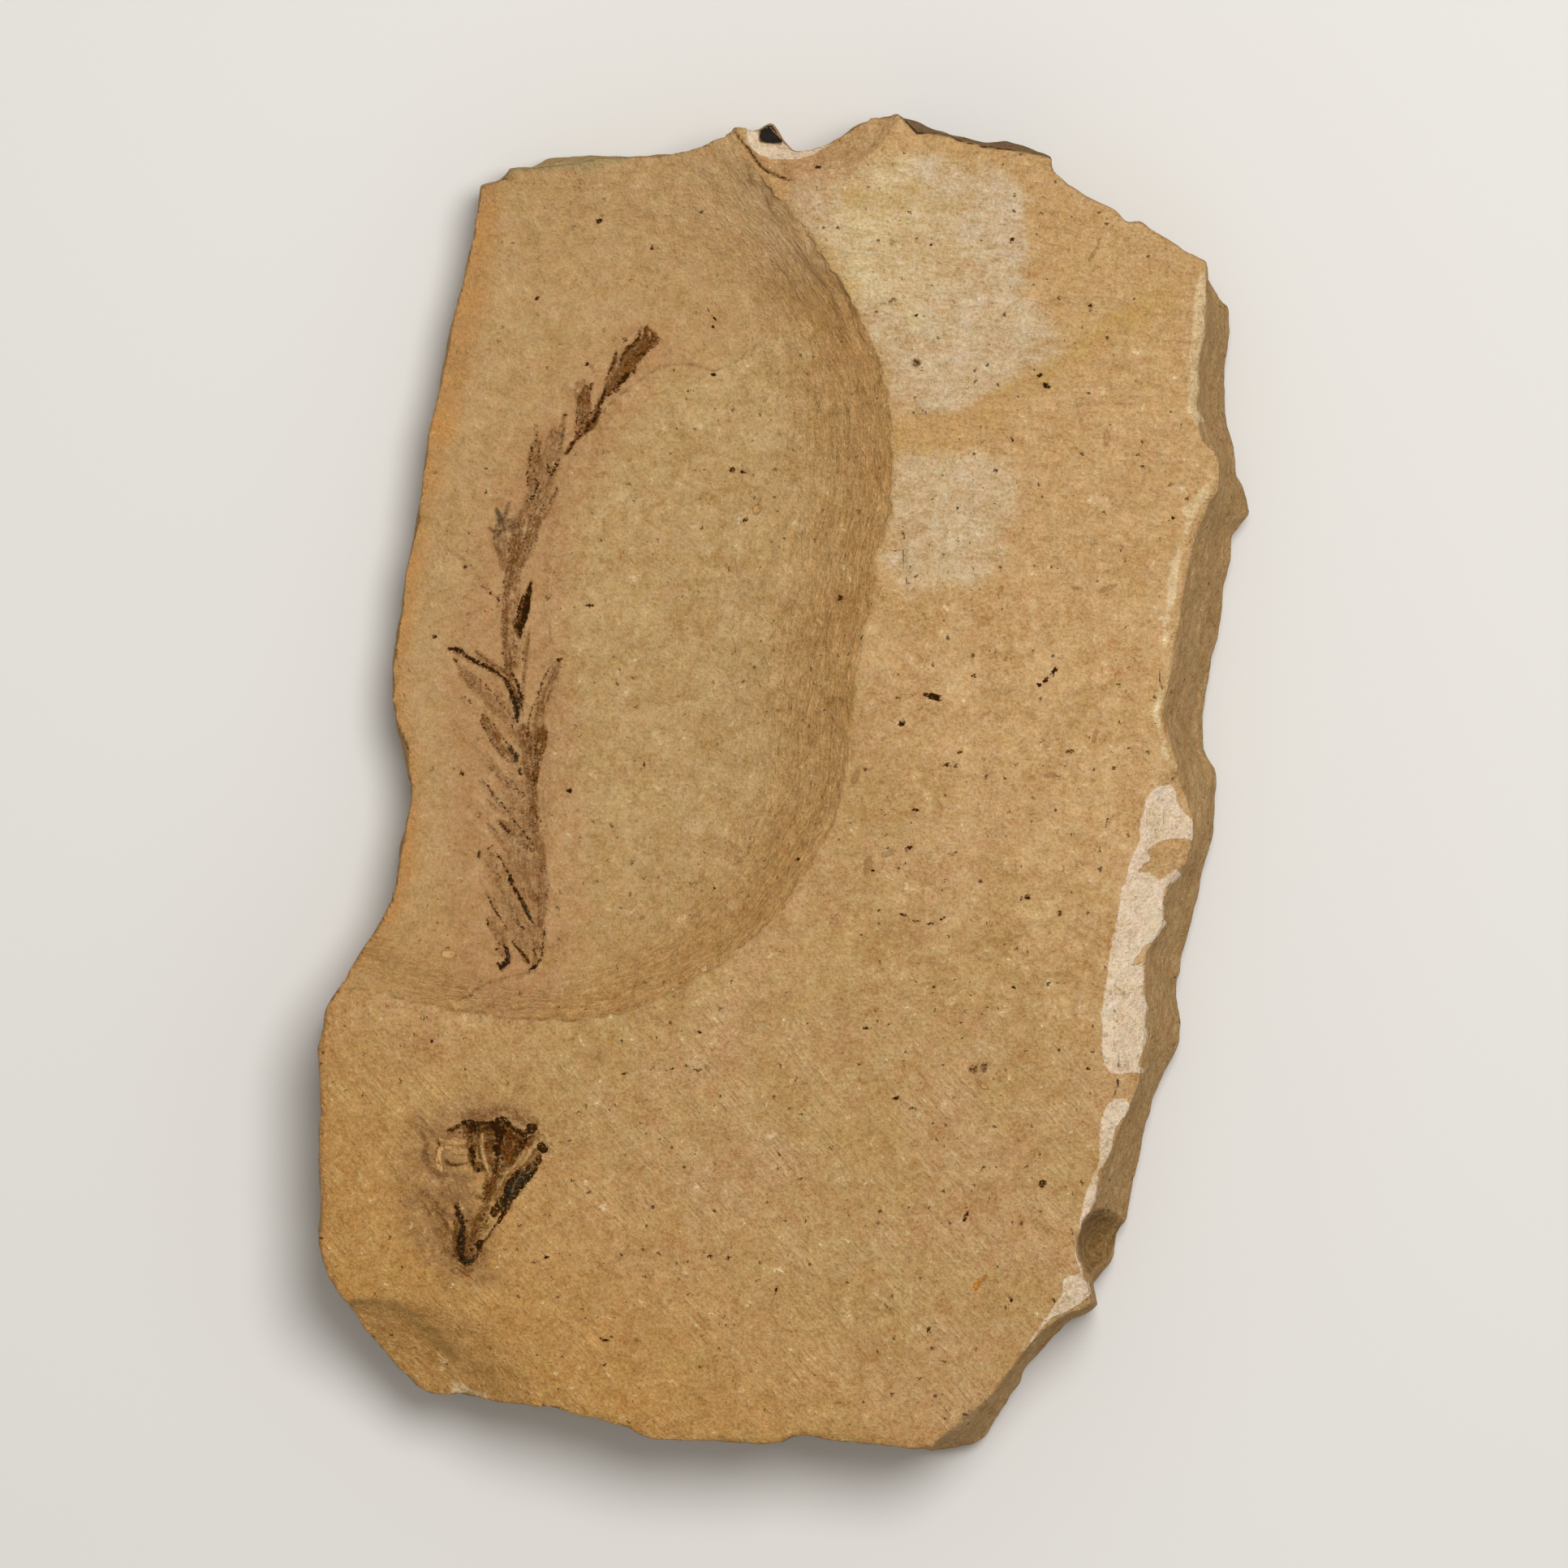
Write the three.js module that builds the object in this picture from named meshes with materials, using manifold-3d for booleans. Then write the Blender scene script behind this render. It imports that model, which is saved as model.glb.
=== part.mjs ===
// A broken slab of tan siltstone that carries a fossil dawn redwood shoot, lying on its back.
// Millimetres, +Z up, +Y along the length. The origin is under the slab's middle, on its flat underside.
// The slab is one stone: a lofted body, from which one large conchoidal flake and a few chips were struck.

import * as THREE from 'three';
import { mergeVertices } from 'three/addons/utils/BufferGeometryUtils.js';
import Module from 'manifold-3d';

const wasm = await Module();
wasm.setup();

// ---- Driving dimensions ----

const THICKNESS = 19; // underside to the upper bedding plane
const SLAB_HALF_WIDTH = 57.5;
const FOOT_HEIGHT = 3.6; // height of the widest outline above the underside
const FOOT_INSET = 2.4; // how far the flat underside stays inside the outline
const EDGE_ROUNDING = 1.0; // width of the worn top edge where no bevel is given
const EDGE_FALL = 0.5; // fall of that edge for each millimetre of its width

const FLAKE_REACH = 1.5; // how far the flake's cutting surface runs out past the rim
const FLAKE_RIM_SLOPE = 0.8; // rise over run of the flake scar just inside its rim
const FLAKE_CURVE = 2.2; // how fast the scar flattens away from the rim, as a power
const FLAKE_STATIONS = 72;
const FLAKE_ROWS = [0, 0.01, 0.05, 0.1, 0.15, 0.21, 0.28, 0.38, 0.52, 0.74, 1]; // shares of the way across

const LOFT_MIDDLE = new THREE.Vector2(-24, 10); // the rings of the body close in on this point
const SWELL = { broad: 0.35, close: 0.22 }; // heights of the upper bedding plane's swells
const LEFT_FALL = { depth: 0.9, width: 7 }; // how the bedding plane dips towards the left edge
const WALL_HOLLOWS = { long: 0.45, short: 0.35, fine: 0.15 }; // depths of the broken side wall's hollows
const TOP_RINGS = [0.95, 0.89, 0.82, 0.74, 0.65, 0.56, 0.46, 0.34, 0.18]; // rings of the top face, inwards
const WALL_LEVELS = [0.25, 0.5, 0.75]; // levels of the side wall between its foot and its top

// The edge of the slab, clockwise from its top left corner. Each row is a point of the outline: x, y. Where
// the side wall leans out and shows from above, the wall's upper edge follows: x, y, and then the width of
// the bevel between it and the top face.
const TOP_EDGE = [
  [-37.5, 74.1], [-35.2, 74.7], [-34.1, 76.3, -33.7, 75.3, 0.4], [-31.5, 76.6, -31.5, 75.5, 0.4],
  [-29.3, 77.8, -28.8, 75.9, 0.4], [-25.1, 78.2, -25.1, 76.4, 0.4], [-22.3, 77.9, -22.3, 77.0, 0.4],
  [-17.0, 77.6], [-11.9, 78.0], [-8.8, 79.4], [-6.3, 80.4], [-3.2, 80.9], [-1.7, 81.6], [-0.2, 79.4],
  [1.1, 77.9], [4.5, 78.7], [7.0, 79.9], [9.3, 81.6], [10.7, 82.2], [13.7, 82.6],
  [16.0, 82.3, 16.1, 80.4, 0.4], [18.2, 81.2, 18.3, 79.9, 0.4], [21.0, 80.3, 21.2, 79.3, 0.4],
  [24.7, 79.7, 24.7, 78.7, 0.4], [27.2, 79.7, 27.2, 78.3, 0.4], [30.0, 78.8, 29.9, 77.7, 0.4],
  [33.2, 77.7, 32.8, 77.0, 0.4], [32.8, 75.5], [34.8, 73.9], [37.0, 72.4], [40.7, 70.4], [42.1, 69.0],
  [43.5, 69.3], [46.5, 67.3], [49.4, 65.6], [52.0, 64.3],
];
const RIGHT_EDGE = [
  [52.4, 62.7, 51.9, 62.3, 1.0], [54.0, 59.9, 51.8, 60.2, 1.4], [55.1, 59.1, 51.8, 58.9, 1.6],
  [55.0, 56.2, 51.7, 56.2, 1.8], [54.5, 51.1, 50.9, 51.1, 2.0], [54.5, 47.2, 50.5, 47.2, 1.8],
  [54.8, 44.7, 50.6, 44.7, 1.4], [55.4, 42.5, 51.4, 42.2, 0.6], [55.8, 40.2, 53.3, 40.2, 0.5],
  [55.8, 38.1, 53.5, 38.1, 0.8], [56.6, 36.7, 53.4, 36.1, 1.2], [57.5, 33.6, 51.9, 34.2, 1.4],
  [56.2, 32.0, 51.1, 31.9, 1.2], [55.5, 30.9, 50.5, 30.3, 1.2], [55.2, 28.6, 49.7, 27.7, 1.0],
  [54.8, 25.5, 49.3, 25.2, 1.0], [54.2, 22.3, 48.8, 22.2, 0.8], [53.4, 17.9, 48.0, 17.7, 0.8],
  [52.7, 14.3, 47.6, 13.9, 0.8], [52.1, 11.4, 46.9, 11.0, 0.8], [51.8, 8.2, 46.5, 8.2, 0.8],
  [52.0, 4.2, 47.7, 4.6, 0.8], [53.4, 2.2, 48.2, 2.7, 1.2], [53.6, -0.4, 48.9, -0.2, 4.2],
  [53.4, -3.6, 50.2, -3.6, 6.3], [52.9, -6.9, 50.2, -6.8, 6.4], [52.2, -9.8, 49.4, -9.9, 6.4],
  [51.6, -11.8, 47.6, -11.8, 5.6], [50.9, -14.3, 46.6, -14.4, 5.2], [50.2, -17.5, 46.6, -17.4, 5.8],
  [49.3, -20.9, 44.2, -20.6, 4.4], [48.7, -24.0, 44.2, -24.0, 4.8], [48.6, -26.7, 44.4, -26.7, 5.1],
  [49.1, -29.6, 44.4, -29.6, 5.5], [48.7, -32.0, 44.2, -32.0, 5.1], [47.7, -34.5, 44.0, -34.5, 4.4],
  [46.7, -36.5, 43.5, -36.8, 3.2], [45.7, -38.9, 42.7, -39.0, 3.1], [44.9, -41.8, 41.4, -41.8, 2.4],
  [44.2, -44.5, 40.4, -44.5, 1.9], [43.4, -48.3, 38.9, -48.3, 1.3], [42.6, -51.8, 37.6, -51.8, 1.0],
  [42.2, -54.0, 37.0, -54.0, 0.9], [41.1, -55.7, 36.6, -55.7, 0.8], [40.8, -58.2, 36.6, -58.2, 0.8],
  [40.3, -59.4, 37.0, -59.4, 0.8], [38.1, -61.8, 37.4, -61.6, 2.4], [38.9, -64.3, 37.9, -63.9, 3.8],
  [37.9, -65.3, 36.2, -65.0, 2.8], [35.2, -66.3, 33.6, -65.9, 1.4], [33.6, -68.2, 32.2, -66.8, 0.8],
  [32.0, -70.0, 30.9, -68.2, 0.8], [29.7, -72.5, 28.8, -70.5, 0.8], [29.1, -74.3, 27.6, -72.3, 0.8],
  [27.7, -75.9, 26.4, -73.9, 0.8], [26.3, -78.5, 24.9, -75.5, 0.8], [24.8, -80.8, 22.8, -77.4, 0.8],
  [23.2, -81.9, 21.3, -78.7, 0.8], [21.4, -82.2, 20.4, -79.4, 0.8], [18.1, -82.6, 18.0, -81.6, 0.6],
];
const BOTTOM_EDGE = [
  [15.4, -81.8], [11.4, -81.3], [6.6, -80.9], [2.7, -80.2], [0.8, -80.4], [-0.4, -81.1], [-3.8, -81.1],
  [-9.4, -80.8], [-16.2, -80.4], [-19.2, -79.0], [-24.5, -77.7], [-29.2, -76.5], [-34.3, -76.2],
  [-39.4, -75.5], [-43.5, -75.1], [-45.2, -74.3], [-47.2, -72.6], [-49.0, -70.6], [-50.9, -68.2],
  [-53.1, -64.9], [-55.5, -62.0],
];
const LEFT_EDGE = [
  [-56.5, -60.3], [-57.1, -58.3], [-57.4, -56.3], [-57.1, -52.0], [-57.2, -47.4], [-57.2, -38.0],
  [-57.5, -34.0], [-57.4, -32.0], [-56.8, -28.5], [-56.2, -26.8], [-54.2, -24.4], [-52.9, -21.7],
  [-49.9, -17.0], [-48.8, -14.6], [-48.2, -11.7], [-47.6, -7.6], [-46.4, -2.5], [-46.4, 0.2],
  [-47.5, 4.7], [-48.1, 6.7], [-48.6, 10.3], [-48.7, 14.5], [-48.2, 18.6], [-47.0, 26.1], [-45.7, 32.7],
  [-44.8, 38.1], [-44.1, 42.7], [-42.6, 49.7], [-40.8, 58.6], [-40.0, 61.4], [-38.7, 67.9],
];

// The rim of the flake scar, from the top edge round to the left edge: x, y, and how deep the scar's floor
// lies below the upper bedding plane inside that point.
const FLAKE_RIM = [
  [-7.8, 85.0, 0.8], [-6.0, 79.9, 0.9], [-4.3, 76.7, 1.3], [-2.3, 73.5, 1.9], [0.8, 70.4, 2.8],
  [3.6, 66.5, 4.0], [5.9, 62.8, 5.3], [8.1, 59.7, 6.5], [9.5, 56.9, 7.4], [10.9, 54.4, 8.1],
  [12.1, 51.0, 8.6], [12.9, 46.8, 8.9], [13.3, 40.7, 9.0], [13.0, 32.4, 9.0], [12.0, 29.7, 9.0],
  [11.2, 26.7, 9.0], [10.7, 22.7, 9.0], [9.5, 17.7, 9.0], [8.8, 11.7, 8.9], [8.3, 6.7, 8.8],
  [7.6, 0.7, 8.7], [6.4, -4.4, 8.5], [3.6, -9.4, 8.2], [0.8, -13.7, 7.8], [-2.8, -17.9, 7.3],
  [-6.8, -21.4, 6.8], [-11.8, -24.4, 6.2], [-16.8, -26.9, 5.6], [-21.8, -28.4, 5.0],
  [-26.8, -29.0, 4.2], [-31.8, -28.8, 3.2], [-36.8, -28.1, 2.1], [-41.4, -27.5, 1.2],
  [-45.6, -26.8, 0.8], [-49.5, -25.7, 0.6], [-54.4, -25.0, 0.5], [-62.0, -24.4, 0.5],
];

// Where the floor of the scar ends, outside the slab, evenly spaced along the same way round.
const FLAKE_FAR_SIDE = [
  [-14, 97], [-36, 95], [-58, 84], [-64, 64], [-64, 46], [-64, 28], [-64, 10], [-64, -4], [-64, -13],
  [-65, -19], [-66, -23],
];

// Chips broken from the edge. Each leaves a hollow that is part of an ellipsoid: its middle and half sizes,
// its tilt about Y and then its turn about Z, in degrees.
const CHIPS = {
  topNotch: { middle: [3.8, 86.0, 27.0], half: [13.8, 13.8, 13.8], tilt: 0, turn: 0 },
  cornerBreak: { middle: [-52, -79.9, 32.7], half: [30, 22, 22], tilt: -4.6, turn: -3 },
  wallPit: { middle: [40.3, -57.0, 16.0], half: [4.6, 4.8, 8.4], tilt: 0, turn: 0 },
};

const STONE = new THREE.MeshStandardMaterial({ color: 0xb89264, roughness: 0.9, metalness: 0 });

// ---- Form of the stone ----

/** Height of the upper bedding plane, which swells a little and dips towards the left edge. */
function beddingHeight(x, y) {
  const broad = SWELL.broad * Math.sin(x / 23 + 1.1) * Math.cos(y / 31);
  const close = SWELL.close * Math.sin((x + y) / 17);
  const leftFall = LEFT_FALL.depth * Math.exp(-(x + SLAB_HALF_WIDTH) / LEFT_FALL.width);
  return THICKNESS + broad + close - leftFall;
}

/** How deep the broken side wall is hollowed at a place on it. */
function wallHollow({ x, y, z }) {
  const long = WALL_HOLLOWS.long * Math.sin(0.31 * x + 0.9 * z);
  const short = WALL_HOLLOWS.short * Math.sin(0.43 * y - 1.3 * z + 1);
  const fine = WALL_HOLLOWS.fine * Math.sin(1.1 * (x + y));
  return Math.abs(long + short + fine);
}

/** A point moved towards the middle of the slab by some distance, at a new height. */
function towardsMiddle(x, y, distance, z) {
  const at = new THREE.Vector2(x, y);
  const inwards = LOFT_MIDDLE.clone().sub(at).setLength(distance);
  return new THREE.Vector3(...at.add(inwards), z);
}

/** The rings of the slab's body, from the underside up the wall and across the top face. */
function slabRings() {
  const stations = [...TOP_EDGE, ...RIGHT_EDGE, ...BOTTOM_EDGE, ...LEFT_EDGE].map(
    ([x, y, topX = x, topY = y, bevel = EDGE_ROUNDING]) => {
      const topZ = beddingHeight(topX, topY) - EDGE_FALL * bevel;
      const foot = new THREE.Vector3(x, y, FOOT_HEIGHT);
      const wallTop = new THREE.Vector3(topX, topY, topZ);
      return { foot, wallTop, bevel };
    },
  );
  const underside = stations.map(({ foot }) => towardsMiddle(foot.x, foot.y, FOOT_INSET, 0));
  const lowWall = stations.map(({ foot }) => towardsMiddle(foot.x, foot.y, FOOT_INSET / 4, FOOT_HEIGHT / 3));
  const wall = WALL_LEVELS.map((level) =>
    stations.map(({ foot, wallTop }) => {
      const at = foot.clone().lerp(wallTop, level);
      return towardsMiddle(at.x, at.y, wallHollow(at), at.z);
    }),
  );
  const topEdge = stations.map(({ wallTop, bevel }) => {
    const at = towardsMiddle(wallTop.x, wallTop.y, bevel, 0);
    return at.setZ(beddingHeight(at.x, at.y));
  });
  const topFace = TOP_RINGS.map((scale) =>
    topEdge.map(({ x, y }) => {
      const at = LOFT_MIDDLE.clone().lerp(new THREE.Vector2(x, y), scale);
      return new THREE.Vector3(...at, beddingHeight(...at));
    }),
  );
  return [
    underside,
    lowWall,
    stations.map(({ foot }) => foot),
    ...wall,
    stations.map(({ wallTop }) => wallTop),
    topEdge,
    ...topFace,
  ];
}

/** A closed body through rings of equal length that run clockwise, with a middle point at either end. */
function loft(rings, bottomMiddle, topMiddle) {
  const count = rings[0].length;
  const points = [...rings.flat(), bottomMiddle, topMiddle];
  const bottom = points.length - 2;
  const top = points.length - 1;
  const last = (rings.length - 1) * count;
  const faces = [];
  for (let i = 0; i < count; i += 1) {
    const j = (i + 1) % count;
    faces.push(bottom, i, j);
    for (let base = 0; base < last; base += count) {
      faces.push(base + i, base + count + i, base + j);
      faces.push(base + j, base + count + i, base + count + j);
    }
    faces.push(top, last + j, last + i);
  }
  return closedGeometry(points, faces);
}

/** The block of stone above a surface given as rows of points, up to a level lid. */
function blockAbove(rows, lidHeight) {
  const across = rows.length;
  const along = rows[0].length;
  const floor = rows.flat();
  const lid = floor.map(({ x, y }) => new THREE.Vector3(x, y, lidHeight));
  const faces = [];
  const quad = (a, b, c, d) => faces.push(a, b, c, a, c, d);
  const at = (row, column) => row * along + column;
  for (let row = 0; row < across - 1; row += 1) {
    for (let column = 0; column < along - 1; column += 1) {
      const corners = [at(row, column), at(row, column + 1), at(row + 1, column + 1), at(row + 1, column)];
      quad(...corners);
      quad(...corners.map((corner) => corner + floor.length).reverse());
    }
  }
  const border = [];
  for (let column = 0; column < along - 1; column += 1) border.push(at(0, column));
  for (let row = 0; row < across - 1; row += 1) border.push(at(row, along - 1));
  for (let column = along - 1; column > 0; column -= 1) border.push(at(across - 1, column));
  for (let row = across - 1; row > 0; row -= 1) border.push(at(row, 0));
  border.forEach((a, n) => {
    const b = border[(n + 1) % border.length];
    quad(b, a, a + floor.length, b + floor.length);
  });
  return closedGeometry([...floor, ...lid], faces);
}

function closedGeometry(points, faces) {
  const geometry = new THREE.BufferGeometry();
  const places = points.flatMap((p) => [p.x, p.y, p.z]);
  geometry.setAttribute('position', new THREE.Float32BufferAttribute(places, 3));
  geometry.setIndex(faces);
  return geometry;
}

// ---- What was struck from it ----

/** The flake that left the large scar: its lower face curves down from the rim and runs out level. */
function flakeGeometry() {
  const rim = new THREE.CatmullRomCurve3(FLAKE_RIM.map(([x, y, depth]) => new THREE.Vector3(x, y, depth)));
  const farSide = new THREE.CatmullRomCurve3(FLAKE_FAR_SIDE.map(([x, y]) => new THREE.Vector3(x, y, 0)));
  const stations = Array.from({ length: FLAKE_STATIONS + 1 }, (_, n) => {
    const u = n / FLAKE_STATIONS;
    const { x, y, z: depth } = rim.getPointAt(u);
    const start = new THREE.Vector2(x, y);
    const end = new THREE.Vector2().copy(farSide.getPoint(u));
    return { start, run: end.clone().sub(start), depth };
  });
  const outside = stations.map(({ start, run }) => {
    const at = start.clone().addScaledVector(run, -FLAKE_REACH / run.length());
    return new THREE.Vector3(at.x, at.y, beddingHeight(at.x, at.y) + FLAKE_REACH * FLAKE_RIM_SLOPE);
  });
  const inside = FLAKE_ROWS.map((share) =>
    stations.map(({ start, run, depth }) => {
      const at = start.clone().addScaledVector(run, share);
      const width = (FLAKE_CURVE * depth) / FLAKE_RIM_SLOPE;
      const left = Math.max(0, 1 - (share * run.length()) / width);
      const drop = depth * (1 - left ** FLAKE_CURVE);
      return new THREE.Vector3(at.x, at.y, beddingHeight(start.x, start.y) - drop);
    }),
  );
  return blockAbove([outside, ...inside], 1.5 * THICKNESS);
}

/** The lump that left one chip. */
function chipGeometry({ middle, half, tilt, turn }) {
  return new THREE.SphereGeometry(1, 48, 36)
    .scale(...half)
    .rotateY(THREE.MathUtils.degToRad(tilt))
    .rotateZ(THREE.MathUtils.degToRad(turn))
    .translate(...middle);
}

function toSolid(geometry) {
  geometry.deleteAttribute('normal');
  geometry.deleteAttribute('uv');
  const { attributes, index } = mergeVertices(geometry);
  return new wasm.Manifold(
    new wasm.Mesh({
      numProp: 3,
      vertProperties: new Float32Array(attributes.position.array),
      triVerts: new Uint32Array(index.array),
    }),
  );
}

function toGeometry(solid) {
  const { vertProperties, triVerts } = solid.getMesh();
  const geometry = new THREE.BufferGeometry();
  geometry.setAttribute('position', new THREE.BufferAttribute(vertProperties, 3));
  geometry.setIndex(new THREE.BufferAttribute(triVerts, 1));
  geometry.computeVertexNormals();
  return geometry;
}

// ---- The slab ----

function buildSlab() {
  const underside = new THREE.Vector3(...LOFT_MIDDLE, 0);
  const topMiddle = new THREE.Vector3(...LOFT_MIDDLE, beddingHeight(...LOFT_MIDDLE));
  const struckOff = [flakeGeometry(), ...Object.values(CHIPS).map(chipGeometry)];
  const solid = struckOff.reduce(
    (stone, piece) => stone.subtract(toSolid(piece)),
    toSolid(loft(slabRings(), underside, topMiddle)),
  );
  const slab = new THREE.Mesh(toGeometry(solid), STONE);
  slab.name = 'slab';
  return slab;
}

const plate = new THREE.Group();
plate.add(buildSlab());

export default plate;
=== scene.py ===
"""A slab of tan siltstone with a fossil dawn redwood shoot and a cone scale, lying on its back."""

import math

import bpy
import numpy as np
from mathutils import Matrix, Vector, noise


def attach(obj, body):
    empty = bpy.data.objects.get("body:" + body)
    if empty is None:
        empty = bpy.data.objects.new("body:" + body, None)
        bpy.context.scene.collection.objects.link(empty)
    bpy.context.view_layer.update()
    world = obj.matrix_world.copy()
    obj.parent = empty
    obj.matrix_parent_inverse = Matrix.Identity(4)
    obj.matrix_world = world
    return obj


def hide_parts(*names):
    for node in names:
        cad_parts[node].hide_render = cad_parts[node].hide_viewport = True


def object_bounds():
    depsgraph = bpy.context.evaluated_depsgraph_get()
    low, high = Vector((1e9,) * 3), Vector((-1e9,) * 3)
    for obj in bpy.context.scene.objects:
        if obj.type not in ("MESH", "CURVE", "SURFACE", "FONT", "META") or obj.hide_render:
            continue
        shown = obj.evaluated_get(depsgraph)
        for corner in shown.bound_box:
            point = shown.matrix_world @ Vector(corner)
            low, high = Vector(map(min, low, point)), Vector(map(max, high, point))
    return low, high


MM = 0.001  # one millimetre, in metres

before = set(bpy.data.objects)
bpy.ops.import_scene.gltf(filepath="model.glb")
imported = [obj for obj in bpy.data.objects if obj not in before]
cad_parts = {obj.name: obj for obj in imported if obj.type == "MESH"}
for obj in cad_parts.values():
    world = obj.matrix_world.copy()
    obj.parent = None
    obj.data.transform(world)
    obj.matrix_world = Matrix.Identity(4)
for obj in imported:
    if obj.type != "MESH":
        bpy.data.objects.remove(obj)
CAD_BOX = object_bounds()


# ---- The camera, the floor and the light ----

VIEW_MIDDLE = (-0.15, 0.05, 12.0)  # millimetres
VIEW_WIDTH = 193.2
LENS = 400.0
SENSOR = 36.0
NEAREST_SEEN = 0.1  # metres
FARTHEST_SEEN = 10.0
FLOOR_SIZE = 4.0  # metres
FLOOR_COLOUR = (0.72, 0.71, 0.69, 1)
FLOOR_ROUGHNESS = 0.9
SKY_COLOUR = (1.0, 0.97, 0.92, 1)
SKY_STRENGTH = 0.42
SOFTBOX_SIZE = 0.45  # metres
SOFTBOX_POWER = 5.6  # watts
SOFTBOX_COLOUR = (1.0, 0.985, 0.96)
SOFTBOX_PLACE = (0.17, 0.22, 0.82)  # metres


def make_studio():
    """A pale floor under the slab, a soft light from the upper right, and a camera straight above."""
    bpy.ops.mesh.primitive_plane_add(size=FLOOR_SIZE, location=(0, 0, 0))
    floor = bpy.context.object
    floor.name = "floor"
    paper = bpy.data.materials.new("pale_paper")
    paper.use_nodes = True
    finish = paper.node_tree.nodes["Principled BSDF"]
    finish.inputs["Base Color"].default_value = FLOOR_COLOUR
    finish.inputs["Roughness"].default_value = FLOOR_ROUGHNESS
    floor.data.materials.append(paper)

    world = bpy.data.worlds.new("studio")
    world.use_nodes = True
    sky = world.node_tree.nodes["Background"]
    sky.inputs["Color"].default_value = SKY_COLOUR
    sky.inputs["Strength"].default_value = SKY_STRENGTH
    bpy.context.scene.world = world

    softbox = bpy.data.lights.new("softbox", "AREA")
    softbox.shape = "DISK"
    softbox.size = SOFTBOX_SIZE
    softbox.energy = SOFTBOX_POWER
    softbox.color = SOFTBOX_COLOUR
    lamp = bpy.data.objects.new("softbox", softbox)
    lamp.location = SOFTBOX_PLACE
    lamp.rotation_euler = (-Vector(lamp.location)).to_track_quat("-Z", "Y").to_euler()
    lamp.visible_camera = False
    bpy.context.collection.objects.link(lamp)

    lens = bpy.data.cameras.new("camera")
    lens.lens = LENS
    lens.sensor_width = SENSOR
    distance = VIEW_WIDTH * LENS / SENSOR
    lens.clip_start = NEAREST_SEEN
    lens.clip_end = FARTHEST_SEEN
    camera = bpy.data.objects.new("camera", lens)
    x, y, z = VIEW_MIDDLE
    camera.location = (x * MM, y * MM, (z + distance) * MM)
    bpy.context.collection.objects.link(camera)
    bpy.context.scene.camera = camera
    bpy.context.scene.view_settings.view_transform = "Standard"


# ---- Shader sums ----


class Shade:
    """One output of a material's node tree. Sums with it add Math nodes, and node() adds any other."""

    def __init__(self, tree, output=None):
        self.tree = tree
        self.output = output

    def node(self, kind, settings=None, inputs=None, out=0):
        made = self.tree.nodes.new("ShaderNode" + kind)
        for name, value in (settings or {}).items():
            setattr(made, name, value)
        for name, value in (inputs or {}).items():
            if isinstance(value, Shade):
                self.tree.links.new(value.output, made.inputs[name])
            else:
                made.inputs[name].default_value = value
        return Shade(self.tree, made.outputs[out])

    def sum(self, operation, *values):
        return self.node("Math", {"operation": operation}, dict(enumerate(values)))

    def __add__(self, other):
        return self.sum("ADD", self, other)

    def __sub__(self, other):
        return self.sum("SUBTRACT", self, other)

    def __rsub__(self, other):
        return self.sum("SUBTRACT", other, self)

    def __mul__(self, other):
        return self.sum("MULTIPLY", self, other)

    __radd__ = __add__
    __rmul__ = __mul__

    def atop(self, other):
        """The larger of two masks."""
        return self.sum("MAXIMUM", self, other)

    def ramp(self, start, end):
        """0 up to start and 1 from end on, eased between; start may be the larger."""
        if start > end:
            return 1 - self.ramp(end, start)
        return self.node(
            "MapRange",
            {"interpolation_type": "SMOOTHSTEP"},
            {"Value": self, "From Min": start, "From Max": end},
        )

    def painted(self, colour, mask):
        """This colour with another over it where the mask is 1."""
        return self.node("Mix", {"data_type": "RGBA"}, {0: mask, 6: self, 7: colour}, out=2)

    def tinted(self, value, reach, middle=(1.0, 1.0, 1.0)):
        """This colour times a middle tint, plus a value times how far it reaches in red, green and blue."""
        tint = self.node("VectorMath", {"operation": "MULTIPLY_ADD"}, {0: value, 1: reach, 2: middle})
        mix = {"data_type": "RGBA", "blend_type": "MULTIPLY", "clamp_result": False}
        return self.node("Mix", mix, {0: 1.0, 6: self, 7: tint}, out=2)


def tone(red, green, blue):
    """A colour given as 0 to 255, as the shader wants it."""
    shares = (red / 255, green / 255, blue / 255)
    linear = [c / 12.92 if c <= 0.04045 else ((c + 0.055) / 1.055) ** 2.4 for c in shares]
    return (*linear, 1.0)


def new_material(name):
    """An empty material, and a Shade to add its nodes with."""
    material = bpy.data.materials.new(name)
    material.use_nodes = True
    material.node_tree.nodes.clear()
    return material, Shade(material.node_tree)


def finish_material(shade, inputs):
    """Closes a material: the surface with these inputs, and its output."""
    surface = shade.node("BsdfPrincipled", {}, inputs)
    out = shade.tree.nodes.new("ShaderNodeOutputMaterial")
    shade.tree.links.new(surface.output, out.inputs["Surface"])


def millimetres(shade):
    """Object coordinates, in millimetres."""
    place = shade.node("TexCoord", out="Object")
    return place.node("Mapping", {}, {"Vector": place, "Scale": (1000, 1000, 1000)})


def stretched(place, scale, turn=0.0):
    """Coordinates turned about Z and then scaled, for a pattern with a grain."""
    turned = place.node("Mapping", {}, {"Vector": place, "Rotation": (0, 0, math.radians(turn))})
    return turned.node("Mapping", {}, {"Vector": turned, "Scale": scale})


def mottle(place, size, detail=2.0, distortion=0.0, roughness=0.5):
    """Noise about 0.5, with lumps of a size in millimetres."""
    inputs = {"Vector": place, "Scale": 1 / size, "Detail": detail, "Roughness": roughness}
    return place.node("TexNoise", {}, {**inputs, "Distortion": distortion})


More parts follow.
